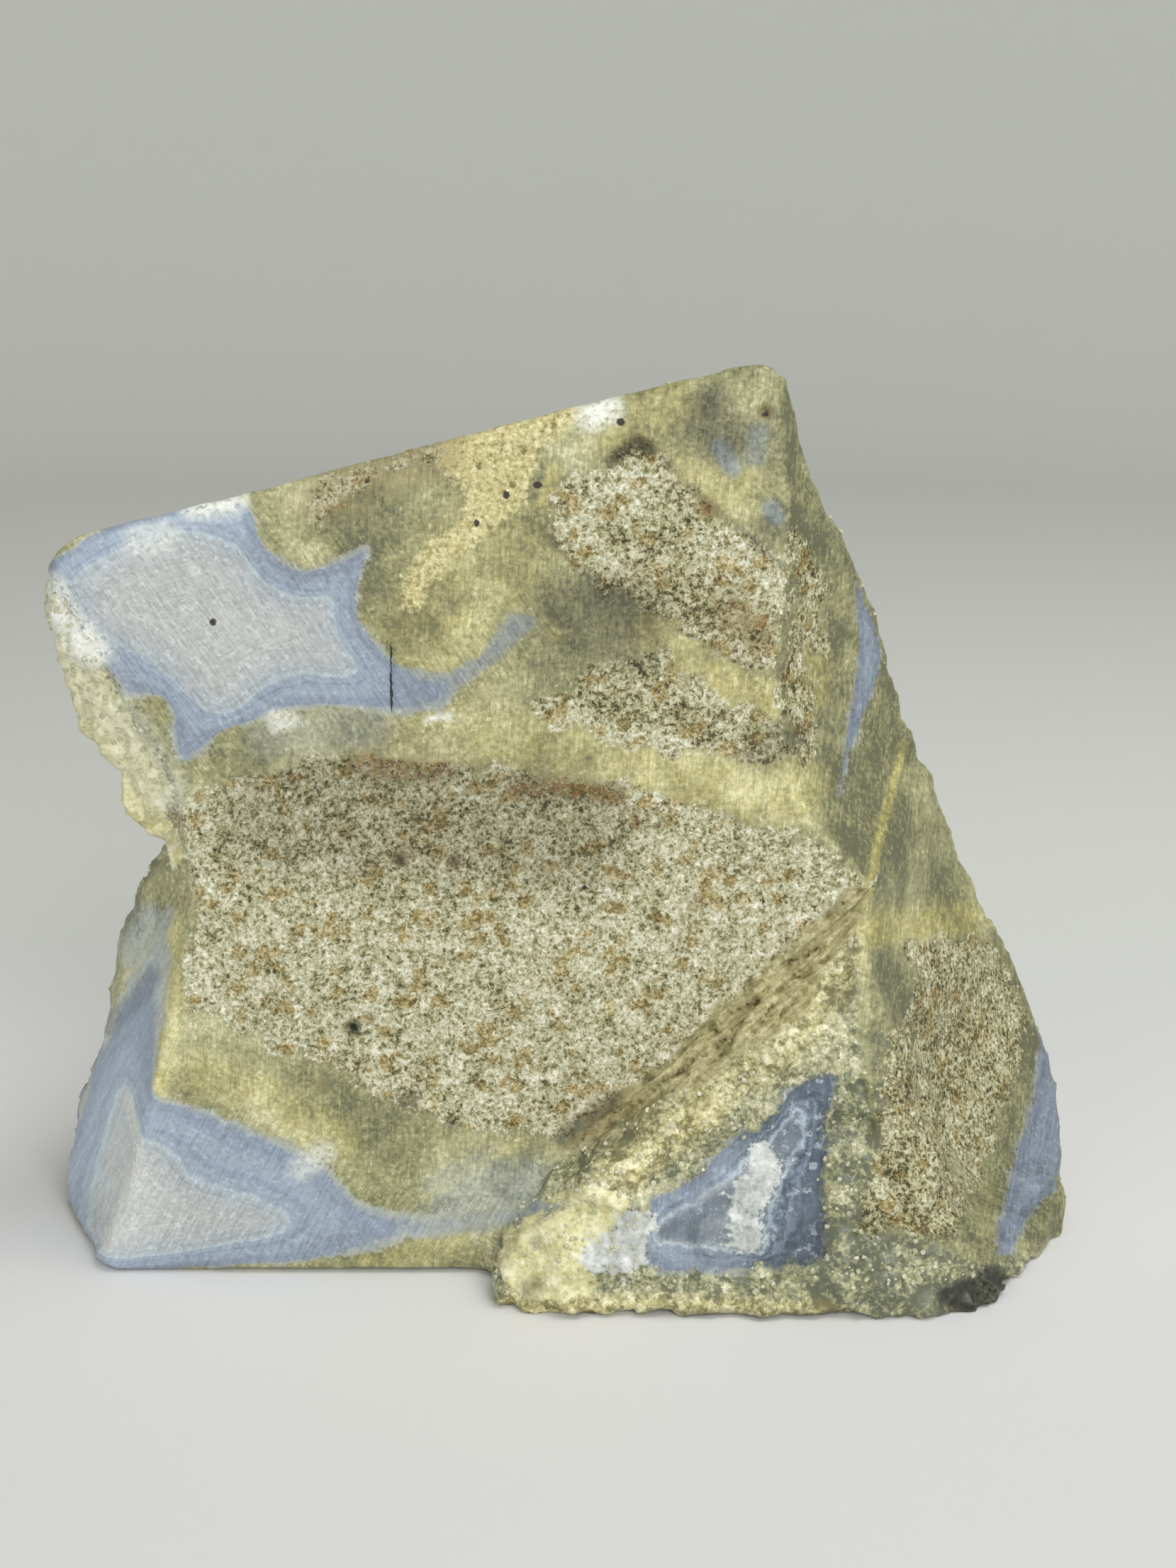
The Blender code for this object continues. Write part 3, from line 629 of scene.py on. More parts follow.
LERP = Step("ShaderNodeMix", (0, 2, 3), 0, (("data_type", "FLOAT"), ("clamp_factor", True)))
SHADED = Step("ShaderNodeMix", (0, 6, 7), 2, (("data_type", "RGBA"), ("blend_type", "MULTIPLY")))
TURNED = Step("ShaderNodeMapping", (0, 2, 3), 0, (("vector_type", "TEXTURE"),))
JOINED = Step("ShaderNodeCombineXYZ", (0, 1))
GREY = Step("ShaderNodeCombineColor", (0, 1, 2))
CLOUD = Step("ShaderNodeTexNoise", (0, 2, 3, 4), 0)
CLOUD_WAY = Step("ShaderNodeTexNoise", (0, 2, 3, 4), 1)
CELLS = Step("ShaderNodeTexVoronoi", (0, 2), 0)
CELL_TINT = Step("ShaderNodeTexVoronoi", (0, 2), 1)
FIRST = Step("ShaderNodeSeparateColor", (0,), 0)


class Graph:
    """A material's node tree, built one node at a time."""

    def __init__(self, name: str) -> None:
        """Starts a material of this name with a Principled surface."""
        self.material = bpy.data.materials.new(name)
        self.material.use_nodes = True
        self.tree = self.material.node_tree
        self.surface = self.tree.nodes["Principled BSDF"]

    def add(self, step: Step, *values: object) -> bpy.types.NodeSocket:
        """Adds one node, with its settings and links.

        Args:
            step: What kind of node it is.
            *values: For each socket that it takes, a number, a colour, a vector or another node's socket.

        Returns:
            The socket that it gives.
        """
        node = self.tree.nodes.new(step.kind)
        for name, value in step.settings:
            setattr(node, name, value)
        for index, value in zip(step.takes, values):
            self.join(node.inputs[index], value)
        return node.outputs[step.gives]

    def join(self, socket: bpy.types.NodeSocket, value: object) -> None:
        """Links the value to the socket, or sets it there."""
        if isinstance(value, bpy.types.NodeSocket):
            self.tree.links.new(value, socket)
        elif value is not None:
            socket.default_value = value

    def channel(self, channel: Channel) -> bpy.types.NodeSocket:
        """The stone's own attribute of this name."""
        return self.add(Step("ShaderNodeAttribute", (), 2, (("attribute_name", channel.value),)))

    def ramp(self, value: bpy.types.NodeSocket, stops: Stops) -> bpy.types.NodeSocket:
        """Colours by value.

        Args:
            value: From 0 to 1.
            stops: Pairs of a place and an sRGB code, in order.

        Returns:
            The colour's socket.
        """
        made = self.add(Step("ShaderNodeValToRGB", (0,)), value)
        elements = made.node.color_ramp.elements
        for place, _ in stops[2:]:
            elements.new(place)
        for element, (place, code) in zip(elements, stops):
            element.position = place
            element.color = linear(code)
        return made


@dataclass(frozen=True)
class BrecciaColours:
    """Colours of the breccia's parts, from dark grains to pale ones, and its grain sizes in mm."""

    lath: tuple[float, float, float] = (0.25, 0.25, 0.90)
    fine_grain: float = 0.30
    facet: float = 0.95
    olive: Stops = (
        (0.18, "#5F6047"), (0.38, "#85845F"), (0.54, "#9C9A71"), (0.70, "#B5B288"), (0.90, "#D9D6B0"),
    )
    dolerite: Stops = (
        (0.04, "#37311A"), (0.20, "#6E6942"), (0.38, "#A39D76"), (0.58, "#C0BFA3"), (0.92, "#F1EFDF"),
    )
    agate: Stops = (
        (0.00, "#A3A695"), (0.025, "#A6ABA6"), (0.07, "#838E9E"), (0.16, "#8D98A8"), (0.26, "#98A4B2"),
        (0.34, "#8F9BAB"), (0.42, "#99A5B3"), (0.46, "#8B97A6"), (0.50, "#A2ACB4"), (0.56, "#A9B0B5"),
        (0.72, "#AEB2B4"), (1.00, "#B6B8B6"),
    )
    slate: Stops = (
        (0.00, "#7E867F"), (0.06, "#465260"), (0.16, "#5F6C7A"), (0.22, "#43505E"), (0.30, "#748190"),
        (0.36, "#505D6B"), (0.44, "#74818F"), (0.50, "#8794A1"), (0.56, "#6E7883"), (0.80, "#747D85"),
        (1.00, "#868E94"),
    )
    seam: Stops = (
        (0.15, "#7C7244"), (0.38, "#B5AB74"), (0.60, "#D3CA97"), (0.85, "#EFE9C2"),
    )
    crust: Stops = (
        (0.20, "#3E371F"), (0.34, "#726845"), (0.50, "#979063"), (0.66, "#B9B187"), (0.85, "#DED8B6"),
    )
    broken: Stops = (
        (0.12, "#5E6350"), (0.36, "#91916E"), (0.58, "#B2B08A"), (0.82, "#D9D7B6"), (0.98, "#F2F0DC"),
    )
    cream: Stops = (
        (0.10, "#97935F"), (0.36, "#C4BE88"), (0.60, "#DDD8A8"), (0.85, "#F3F0D2"),
    )
    quartz: Stops = (
        (0.10, "#8F9595"), (0.40, "#B6BAB6"), (0.70, "#D4D6D1"), (0.95, "#F1F2EE"),
    )
    rust: Stops = ((0.10, "#2E1E09"), (0.55, "#654417"), (1.00, "#927033"))
    rusty_grain: Stops = ((0.1, "#51431B"), (0.5, "#97803F"), (0.9, "#C8B478"))
    ochre: Stops = ((0.2, "#979055"), (0.5, "#C2B97A"), (0.8, "#E9E2AC"))
    blue_grey: Stops = ((0.2, "#6E7A80"), (0.5, "#8F9A9F"), (0.8, "#B4BDBE"))
    pale: Stops = ((0.0, "#D5D7CB"), (1.0, "#F3F4EC"))
    worn: Stops = ((0.0, "#7F7450"), (1.0, "#B9AB80"))
    # Dark grains and patches, also used for painted shade in pits, a crevice and along the lump's foot
    dark: Stops = ((0.0, "#13120C"), (1.0, "#33312A"))
    band_line: str = "#C3CFD1"
    fleck: str = "#C6CED6"
    # Painted shade inside small holes and cracks
    hole_shadow: str = "#16150F"


class BrecciaFinish:
    """Sawn breccia of dolerite fragments in chalcedony with agate pockets, left as the slab saw cut it.

    The dolerite's laths are about 0.9 by 0.25 mm, the chalcedony's crystals 0.3 mm and the open crystals of
    broken stone about 1 mm. The saw's marks, a few tenths of a millimetre apart, show as faint streaks.
    """

    def __init__(self, colours: BrecciaColours = BrecciaColours()) -> None:
        """Starts the material with what its parts share: places in mm, clouds, grains and saw marks.

        Args:
            colours: The colours and grain sizes.
        """
        g = self.graph = Graph("sawn_agate_breccia")
        self.colours = colours
        self.place = g.add(SCALED, g.add(PLACE), 1.0 / MM)
        jitter = g.add(APART, g.add(CLOUD_WAY, self.place, 3.2, 2.0, 0.6), (0.5, 0.5, 0.5))
        self.shaken = g.add(MOVED, self.place, g.add(SCALED, jitter, 0.55))
        self.coarse = g.add(MINUS, g.add(CLOUD, self.place, 0.42, 3.0, 0.6), 0.5)
        self.fine = g.add(MINUS, g.add(CLOUD, self.place, 2.1, 4.0, 0.7), 0.5)
        self.ragged = g.add(PLUS, g.add(TIMES, self.coarse, 2.6), g.add(TIMES, self.fine, 1.7))
        self.specks = g.add(FIRST, g.add(CELL_TINT, self.shaken, 1 / colours.fine_grain))
        hatch = g.add(Step("ShaderNodeAttribute", (), 1, (("attribute_name", "hatch"),)))
        streaks = g.add(CLOUD, g.add(STRETCHED, hatch, (4.6, 0.42, 1.0)), 1.0, 3.0, 0.65)
        self.fibres = g.add(MINUS, streaks, 0.5)
        self.rough = g.channel(Channel.ROUGH)

    def within(self, channel: Channel, raggedness: object, edge: float) -> bpy.types.NodeSocket:
        """Where one kind of stone is.

        Args:
            channel: How deep each point lies inside it, in mm.
            raggedness: How far its edge strays, a number or a socket.
            edge: Half the width over which it fades, in mm.

        Returns:
            The share's socket, 0 outside it and 1 inside.
        """
        depth = self.graph.add(TIMES_PLUS, self.ragged, raggedness, self.graph.channel(channel))
        return self.graph.add(SOFT, depth, -edge, edge, 0.0, 1.0)

    def material(self) -> bpy.types.Material:
        """Builds the material.

        Returns:
            The material, which reads the stone's channels and Object coordinates.
        """
        g, fine, specks, colours = self.graph, self.fine, self.specks, self.colours
        tone_and_shade, cleft, yellow = (g.channel(name) for name in (Channel.TONE_AND_SHADE, Channel.CLEFT_SHADE, Channel.YELLOW))
        in_agate = self.within(Channel.AGATE, g.add(TIMES_PLUS, self.rough, 0.9, 0.85), 0.25)
        in_seam = self.within(Channel.SEAM, 1.0, 0.5)
        in_rock = self.within(Channel.DOLERITE, 1.9, 0.22)
        in_crust = self.within(Channel.CRUST, 1.4, 0.35)
        in_quartz = self.within(Channel.QUARTZ, 2.2, 0.3)
        grains = g.add(TIMES_PLUS, fine, 2.0, g.add(TIMES_PLUS, specks, 0.20, 0.10))
        facets = g.add(FIRST, g.add(CELL_TINT, self.shaken, 1 / colours.facet))
        crystals = g.add(TIMES_PLUS, facets, 0.48, grains)

        colour = g.add(BLEND, in_agate, self.olive_colour(), self.agate_colour())
        pores = g.add(SOFT, g.add(CELLS, self.shaken, 0.52), 0.06, 0.20, 0.45, 0.0)
        seam = g.add(MINUS, g.add(TIMES_PLUS, fine, 1.4, g.add(TIMES_PLUS, specks, 0.30, 0.32)), pores)
        colour = g.add(BLEND, in_seam, colour, g.ramp(seam, colours.seam))
        colour = g.add(BLEND, in_rock, colour, self.dolerite_colour())
        sheets = g.add(TURNED, self.shaken, (0.0, math.radians(-41), 0.0), (2.4, 1.0, 0.50))
        # Painted shade: the crust is darker in its clefts.
        sheets = g.add(TIMES_PLUS, cleft, -0.26, g.add(CLOUD, sheets, 1.0, 5.0, 0.72))
        sheets = g.add(TIMES_PLUS, specks, 0.16, sheets)
        colour = g.add(BLEND, in_crust, colour, g.ramp(sheets, colours.crust))
        is_open = self.rough
        for kind in (in_agate, in_crust, in_rock):
            is_open = g.add(TIMES, is_open, g.add(MINUS, 1.0, kind))
        is_open = g.add(TIMES, is_open, 0.9)
        swell = g.add(MINUS, g.add(CLOUD, self.place, 0.30, 3.0, 0.6), 0.5)
        broken = g.add(TIMES_PLUS, tone_and_shade, 0.35, g.add(TIMES_PLUS, swell, 0.7, crystals))
        # Painted shade: broken stone is darker in its clefts and low places.
        broken = g.add(TIMES_PLUS, cleft, -0.30, broken)
        broken = g.add(BLEND, yellow, g.ramp(broken, colours.broken), g.ramp(broken, colours.seam))
        colour = g.add(BLEND, is_open, colour, broken)
        in_cream = g.add(TIMES_PLUS, self.ragged, 0.5, g.channel(Channel.CREAM))
        in_cream = g.add(TIMES, g.add(SOFT, in_cream, 0.25, 0.75, 0.0, 1.0), g.add(MINUS, 1.0, in_agate))
        milky = g.add(TIMES_PLUS, self.coarse, 0.9, g.add(TIMES_PLUS, crystals, 0.55, 0.30))
        colour = g.add(BLEND, in_cream, colour, g.ramp(milky, colours.cream))
        glassy = g.add(TIMES_PLUS, self.coarse, 1.1, g.add(TIMES_PLUS, crystals, 0.5, 0.24))
        colour = g.add(BLEND, in_quartz, colour, g.ramp(glassy, colours.quartz))
        g.join(g.surface.inputs["Base Color"], self.stained(colour))

        gloss = g.add(LERP, in_rock, 0.56, 0.78)
        glossy, weathered = g.add(MOST, in_quartz, in_cream), g.channel(Channel.RIND)
        for share, roughness in ((in_crust, 0.86), (is_open, 0.42), (glossy, 0.33), (weathered, 0.78)):
            gloss = g.add(LERP, share, gloss, roughness)
        g.join(g.surface.inputs["Roughness"], g.add(TIMES_PLUS, fine, 0.35, gloss))
        for name, value in (("IOR", 1.54), ("Metallic", 0.0), ("Specular IOR Level", 0.5)):
            g.surface.inputs[name].default_value = value
        return g.material

    def olive_colour(self) -> bpy.types.NodeSocket:
        """Olive chalcedony: milky clouds a few millimetres wide, fibres and crystal specks in it, the
        brightest specks lifted further as painted glints.

        Returns:
            The colour's socket.
        """
        g, place, specks = self.graph, self.place, self.specks
        mottled = g.add(TIMES_PLUS, g.add(CLOUD, place, 0.17, 4.0, 0.62), 1.35, -0.235)
        value = g.add(TIMES_PLUS, self.fibres, 0.65, g.add(TIMES_PLUS, self.fine, 0.95, mottled))
        value = g.add(TIMES_PLUS, specks, 0.15, g.add(TIMES_PLUS, g.channel(Channel.TONE_AND_SHADE), 0.48, value))
        # Painted glints: the brightest crystal specks are lifted a little more.
        value = g.add(PLUS, value, g.add(SOFT, specks, 0.93, 0.97, 0.0, 0.08))
        colour = g.ramp(value, self.colours.olive)
        patches = g.add(SOFT, g.add(CLOUD, place, 0.9, 3.0, 0.6), 0.35, 0.6, 0.45, 1.0)
        yellow = g.add(TIMES, g.channel(Channel.YELLOW), patches)
        colour = g.add(BLEND, yellow, colour, g.ramp(value, self.colours.ochre))
        return g.add(BLEND, g.channel(Channel.BLUE), colour, g.ramp(value, self.colours.blue_grey))

    def agate_colour(self) -> bpy.types.NodeSocket:
        """Agate: bands that follow the pocket's wall, a pale line, a sugary grey heart, and painted glints on
        its brightest specks.

        Returns:
            The colour's socket.
        """
        g, place, specks, slate = self.graph, self.place, self.specks, self.graph.channel(Channel.SLATE)
        wander = g.add(MINUS, g.add(CLOUD, place, 0.9, 4.0, 0.62), 0.5)
        strength = g.add(TIMES_PLUS, self.rough, 0.55, 0.20)
        band = g.add(TIMES_PLUS, wander, strength, g.channel(Channel.BAND))
        value = g.add(TIMES, band, 0.5)
        colour = g.add(BLEND, slate, g.ramp(value, self.colours.agate), g.ramp(value, self.colours.slate))
        rhythm = g.add(CLOUD, g.add(STRETCHED, g.add(JOINED, band, 0.0), (9.0, 1.0, 1.0)), 1.0, 2.0, 0.5)
        off = g.add(SIZE, g.add(MINUS, band, 0.965))
        line = g.add(TIMES, g.channel(Channel.LINE), g.add(SOFT, off, 0.03, 0.11, 1.0, 0.0))
        colour = g.add(BLEND, line, colour, linear(self.colours.band_line))
        wavy = g.add(MOVED, place, g.add(SCALED, g.add(CLOUD_WAY, place, 2.5, 2.0, 0.6), 1.1))
        fleck = g.add(SOFT, g.add(FIRST, g.add(CELL_TINT, wavy, 2.0)), 0.84, 0.98, 0.0, 0.5)
        colour = g.add(BLEND, g.add(TIMES, fleck, slate), colour, linear(self.colours.fleck))
        tone_and_shade = g.add(TIMES_PLUS, g.channel(Channel.TONE_AND_SHADE), 0.8, g.add(TIMES_PLUS, rhythm, 0.60, 0.56))
        tone_and_shade = g.add(TIMES_PLUS, self.fibres, 0.95, g.add(TIMES_PLUS, specks, 0.26, tone_and_shade))
        # Painted glints: the brightest specks are lifted a little more.
        tone_and_shade = g.add(PLUS, tone_and_shade, g.add(SOFT, specks, 0.92, 0.98, 0.0, 0.14))
        return g.add(SHADED, 1.0, colour, g.add(GREY, tone_and_shade, tone_and_shade, tone_and_shade))

    def dolerite_colour(self) -> bpy.types.NodeSocket:
        """Dolerite: pale feldspar laths in three directions over dark grains, some of them rusted.

        Returns:
            The colour's socket.
        """
        g, place, fine = self.graph, self.place, self.fine
        laths = None
        for turn in (0.35, 1.45, 2.55):
            turned = g.add(TURNED, self.shaken, (0.3, turn, 0.0), self.colours.lath)
            lath = g.add(CLOUD, turned, 1.0, 2.0, 0.5)
            laths = g.add(MOST, laths, lath) if laths else lath
        laths = g.add(SOFT, laths, 0.44, 0.68, 0.0, 1.0)
        patches = g.add(MINUS, g.add(CLOUD, place, 0.45, 4.0, 0.7), 0.5)
        value = g.add(TIMES_PLUS, fine, 0.9, g.add(TIMES_PLUS, laths, 0.40, 0.11))
        value = g.add(TIMES_PLUS, self.specks, 0.26, value)
        value = g.add(TIMES_PLUS, patches, 0.95, value)
        # Tone and dark patches, both partly painted shade, and the clefts' painted shade change the
        # dolerite's grey.
        for channel, weight in ((Channel.TONE_AND_SHADE, 0.34), (Channel.DARK, -0.26), (Channel.CLEFT_SHADE, -0.5)):
            value = g.add(TIMES_PLUS, g.channel(channel), weight, value)
        spots = g.add(FIRST, g.add(CELL_TINT, g.add(MOVED, place, g.add(SCALED, fine, 1.1)), 0.95))
        rusty = g.add(TIMES_PLUS, laths, -0.30, g.add(SOFT, spots, 0.84, 0.90, 0.0, 0.85))
        colour = g.ramp(value, self.colours.dolerite)
        return g.add(BLEND, rusty, colour, g.ramp(value, self.colours.rusty_grain))

    def stained(self, colour: bpy.types.NodeSocket) -> bpy.types.NodeSocket:
        """Rust, milky patches, weathering, dark patches, and painted shade in pits, a crevice, along the
        foot, in cracks and in small holes.

        Args:
            colour: The stone's colour.

        Returns:
            The stained colour's socket.
        """
        g, fine, specks = self.graph, self.fine, self.specks
        patchy = g.add(TIMES_PLUS, specks, 0.5, g.add(TIMES_PLUS, fine, 2.6, 0.25))
        colours = self.colours
        for channel, fade, stops in (
            (Channel.RUST, (0.38, 0.60, 0.0, 1.1), colours.rust),
            (Channel.PALE, (0.05, 0.4, 0.25, 1.0), colours.pale),
            (Channel.RIND, (0.2, 0.7, 0.15, 0.6), colours.worn),
            (Channel.DARK, (0.0, 0.5, 1.0, 0.85), colours.dark),
        ):
            share = g.add(TIMES, g.channel(channel), g.add(SOFT, patchy, *fade))
            colour = g.add(BLEND, share, colour, g.ramp(specks, stops))
        spot = g.add(Step("ShaderNodeAttribute", (), 1, (("attribute_name", "chart"),)))
        spot = g.add(MOVED, spot, g.add(STRETCHED, g.add(JOINED, fine, specks), (0.5, 0.12, 0.0)))
        shown = g.add(MINUS, 1.0, g.channel(Channel.RIND))
        # Painted shade: each small hole and crack is painted near black.
        for x, z, radius, height in HOLE_SHADOWS:
            nearer = g.add(STRETCHED, g.add(APART, spot, (x, z, 0.0)), (1.0, radius / height, 0.0))
            gap = g.add(LENGTH, nearer)
            inside = g.add(TIMES, shown, g.add(SOFT, gap, radius * 0.7, radius, 0.95, 0.0))
            colour = g.add(BLEND, inside, colour, linear(colours.hole_shadow))
        return colour


@dataclass
class StoneBody:
    """The stone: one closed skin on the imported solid, finer on the side with the saw cut. Sizes in mm."""

    even_face: float = 0.74
    edge_softening: int = 2
    grain_depth: float = 0.07
    facet_depth: float = 0.32
    facet_size: float = 2.3
    lump_depth: float = 0.42
    sheet_depth: float = 0.75
    ledge_slope: float = math.radians(41)
    pit_depth: float = 0.9
    pocket_depth: float = 0.25
    crystals_above: float = 2.5
    crystals_depth: float = 0.5
    markings: Markings = field(default_factory=Markings)
    finish: BrecciaFinish = field(default_factory=BrecciaFinish)

    def build(self, node: bpy.types.Object) -> bpy.types.Object:
        """Builds and dresses the stone.

        Args:
            node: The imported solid.

        Returns:
            The stone, at the origin.
        """
        low, high = (np.array(corner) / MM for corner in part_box(NODE))
        mesh = self.skin(node)
        edges = edges_of(mesh)
        points = relaxed(points_of(mesh) / MM, edges, self.edge_softening) - DRAWING_TO_ROW
        normals = relaxed(points_of(mesh, "normal"), edges, 4)
        normals /= np.linalg.norm(normals, axis=1)[:, None]
        channels = self.markings.of(points, normals, edges)
        spots = self.markings.chart.place(points)
        hatch = self.markings.hatch(spots)
        height, channels[Channel.CLEFT_SHADE] = self.relief(points, channels)
        points += normals * height[:, None]
        points = np.clip(points + DRAWING_TO_ROW, low, high)
        mesh.vertices.foreach_set("co", (points * MM).astype(np.float32).ravel())
        sparkle = channels[Channel.ROUGH] * (1 - channels[Channel.RIND])
        sparkle = sparkle * (1 - np.clip(channels[Channel.CLEFT_SHADE], 0, 1))
        sparkle *= (points[:, 2] > self.crystals_above) & (channels[Channel.AGATE] < self.crystals_depth)
        written = {channel.value: values for channel, values in channels.items()}
        written["hatch"] = hatch
        written["chart"] = np.stack((spots[:, 0], spots[:, 1], np.zeros(len(spots))), axis=1)
        written["sparkle"] = sparkle
        for name, values in written.items():
            kind, entry = ("FLOAT", "value") if values.ndim == 1 else ("FLOAT_VECTOR", "vector")
            layer = mesh.attributes.new(name, kind, "POINT")
            layer.data.foreach_set(entry, values.astype(np.float32).ravel())
        mesh.shade_smooth()
        mesh.update()
        mesh.materials.clear()
        mesh.materials.append(self.finish.material())
        stone = object_of("agate_breccia_block", mesh)
        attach(stone, BODY)
        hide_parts(NODE)
        LOG.info("stone: %d points, %d faces", len(mesh.vertices), len(mesh.polygons))
        return stone

    def skin(self, node: bpy.types.Object) -> bpy.types.Mesh:
        """An even skin on the solid, in smaller faces where the eye sees it.

        Args:
            node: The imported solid, which stays as it is.

        Returns:
            The skin, in triangles.
        """
        whole = bmesh.new()
        whole.from_mesh(node.data)
        bmesh.ops.remove_doubles(whole, verts=whole.verts[:], dist=1e-6)
        solid = bpy.data.meshes.new("solid")
        whole.to_mesh(solid)
        whole.free()
        target = object_of("solid", solid)
        even = object_of("even", solid.copy())
        step = even.modifiers.new("even_faces", "REMESH")
        step.mode = "VOXEL"
        step.voxel_size = self.even_face * MM
        bm = bmesh.new()
        bm.from_mesh(finished_mesh(even))
        bm.normal_update()
        eye = Vector((EYE + DRAWING_TO_ROW) * MM)
        seen = [face for face in bm.faces if face.normal.dot(eye - face.calc_center_median()) > 0]
        edges = list({edge for face in seen for edge in face.edges})
        bmesh.ops.subdivide_edges(bm, edges=edges, cuts=1, use_grid_fill=True)
        bm.normal_update()
        bmesh.ops.triangulate(bm, faces=bm.faces[:])
        bm.to_mesh(even.data)
        bm.free()
        even.modifiers.clear()
        lay = even.modifiers.new("lay_on_solid", "SHRINKWRAP")
        lay.wrap_method = "NEAREST_SURFACEPOINT"
        lay.target = target
        mesh = finished_mesh(even)
        for helper in (even, target):
            bpy.data.objects.remove(helper)
        return mesh

    def relief(
        self, points: np.ndarray, channels: dict[Channel, np.ndarray]
    ) -> tuple[np.ndarray, np.ndarray]:
        """How far each point moves out along its normal, in mm, and how deep it lies in a cleft, from 0 to 1.

        Args:
            points: Places in the drawing, in mm.
            channels: What the stone is made of there.

        Returns:
            Two arrays, one number for each point.
        """
        grain, facet, lump, sheet = (np.empty(len(points)) for _ in range(4))
        rise, run = math.sin(self.ledge_slope), math.cos(self.ledge_slope)
        for i, point in enumerate(points):
            spot = Vector(point)
            grain[i] = noise.noise(spot / 0.8)
            cell = noise.voronoi(spot / self.facet_size)[1][0]
            tilt = noise.cell_vector(cell * 7.3) * 2 - Vector((1, 1, 1))
            facet[i] = tilt.dot(spot / self.facet_size - cell)
            lump[i] = noise.noise(spot / 2.6) + 0.6 * noise.noise(spot / 1.2)
            along, across = point[0] * run + point[2] * rise, point[2] * run - point[0] * rise
            sheet[i] = noise.noise(Vector((along / 5.5, point[1] / 3, across / 1.0)))
            sheet[i] += 0.55 * noise.noise(Vector((along / 2.2, point[1] / 1.5, across / 0.5)))
        rock = smooth_step((channels[Channel.DOLERITE] + 0.2) / 0.4) * (1 - channels[Channel.CREAM])
        rough = channels[Channel.ROUGH]
        quartz = smooth_step((channels[Channel.QUARTZ] + 0.5) / 1.0)
        crust = smooth_step((channels[Channel.CRUST] + 0.5) / 1.0)
        pocket = smooth_step((channels[Channel.AGATE] + 0.3) / 0.8)
        pocket = pocket * np.minimum(channels[Channel.SLATE] * 2, 1)
        open_stone = rough * (1 - pocket * 0.8) * (1 - crust)
        height = grain * self.grain_depth * np.maximum(np.maximum(rock, rough), crust)
        height += facet * self.facet_depth * open_stone + lump * self.lump_depth * open_stone
        crack = smooth_step(1 - np.abs(sheet + 0.05) / 0.12)
        height += (np.clip(sheet * 2.4, -0.7, 0.7) - 0.45 * crack) * self.sheet_depth * crust
        height -= self.pocket_depth * pocket * (1 - quartz)
        height -= self.pit_depth * channels[Channel.PIT]
        # The clefts are the crust's cracks and the low places of broken stone; the colour darkens them as
        # painted shade.
        cleft = crack * crust + smooth_step((-lump - 0.28) / 0.5) * open_stone
        return height, cleft * (1 - channels[Channel.RIND])


@dataclass(frozen=True)
class CrystalFinish:
    """Milky quartz in small crystals, with glossy faces as they grew."""

    tint: str = "#BFBEA2"
    roughness: float = 0.28

    def material(self) -> bpy.types.Material:
        """Builds the material."""
        g = Graph("quartz_crystals")
        g.surface.inputs["Base Color"].default_value = linear(self.tint)
        g.surface.inputs["Roughness"].default_value = self.roughness
        g.surface.inputs["IOR"].default_value = 1.544
        g.surface.inputs["Metallic"].default_value = 0.0
        return g.material


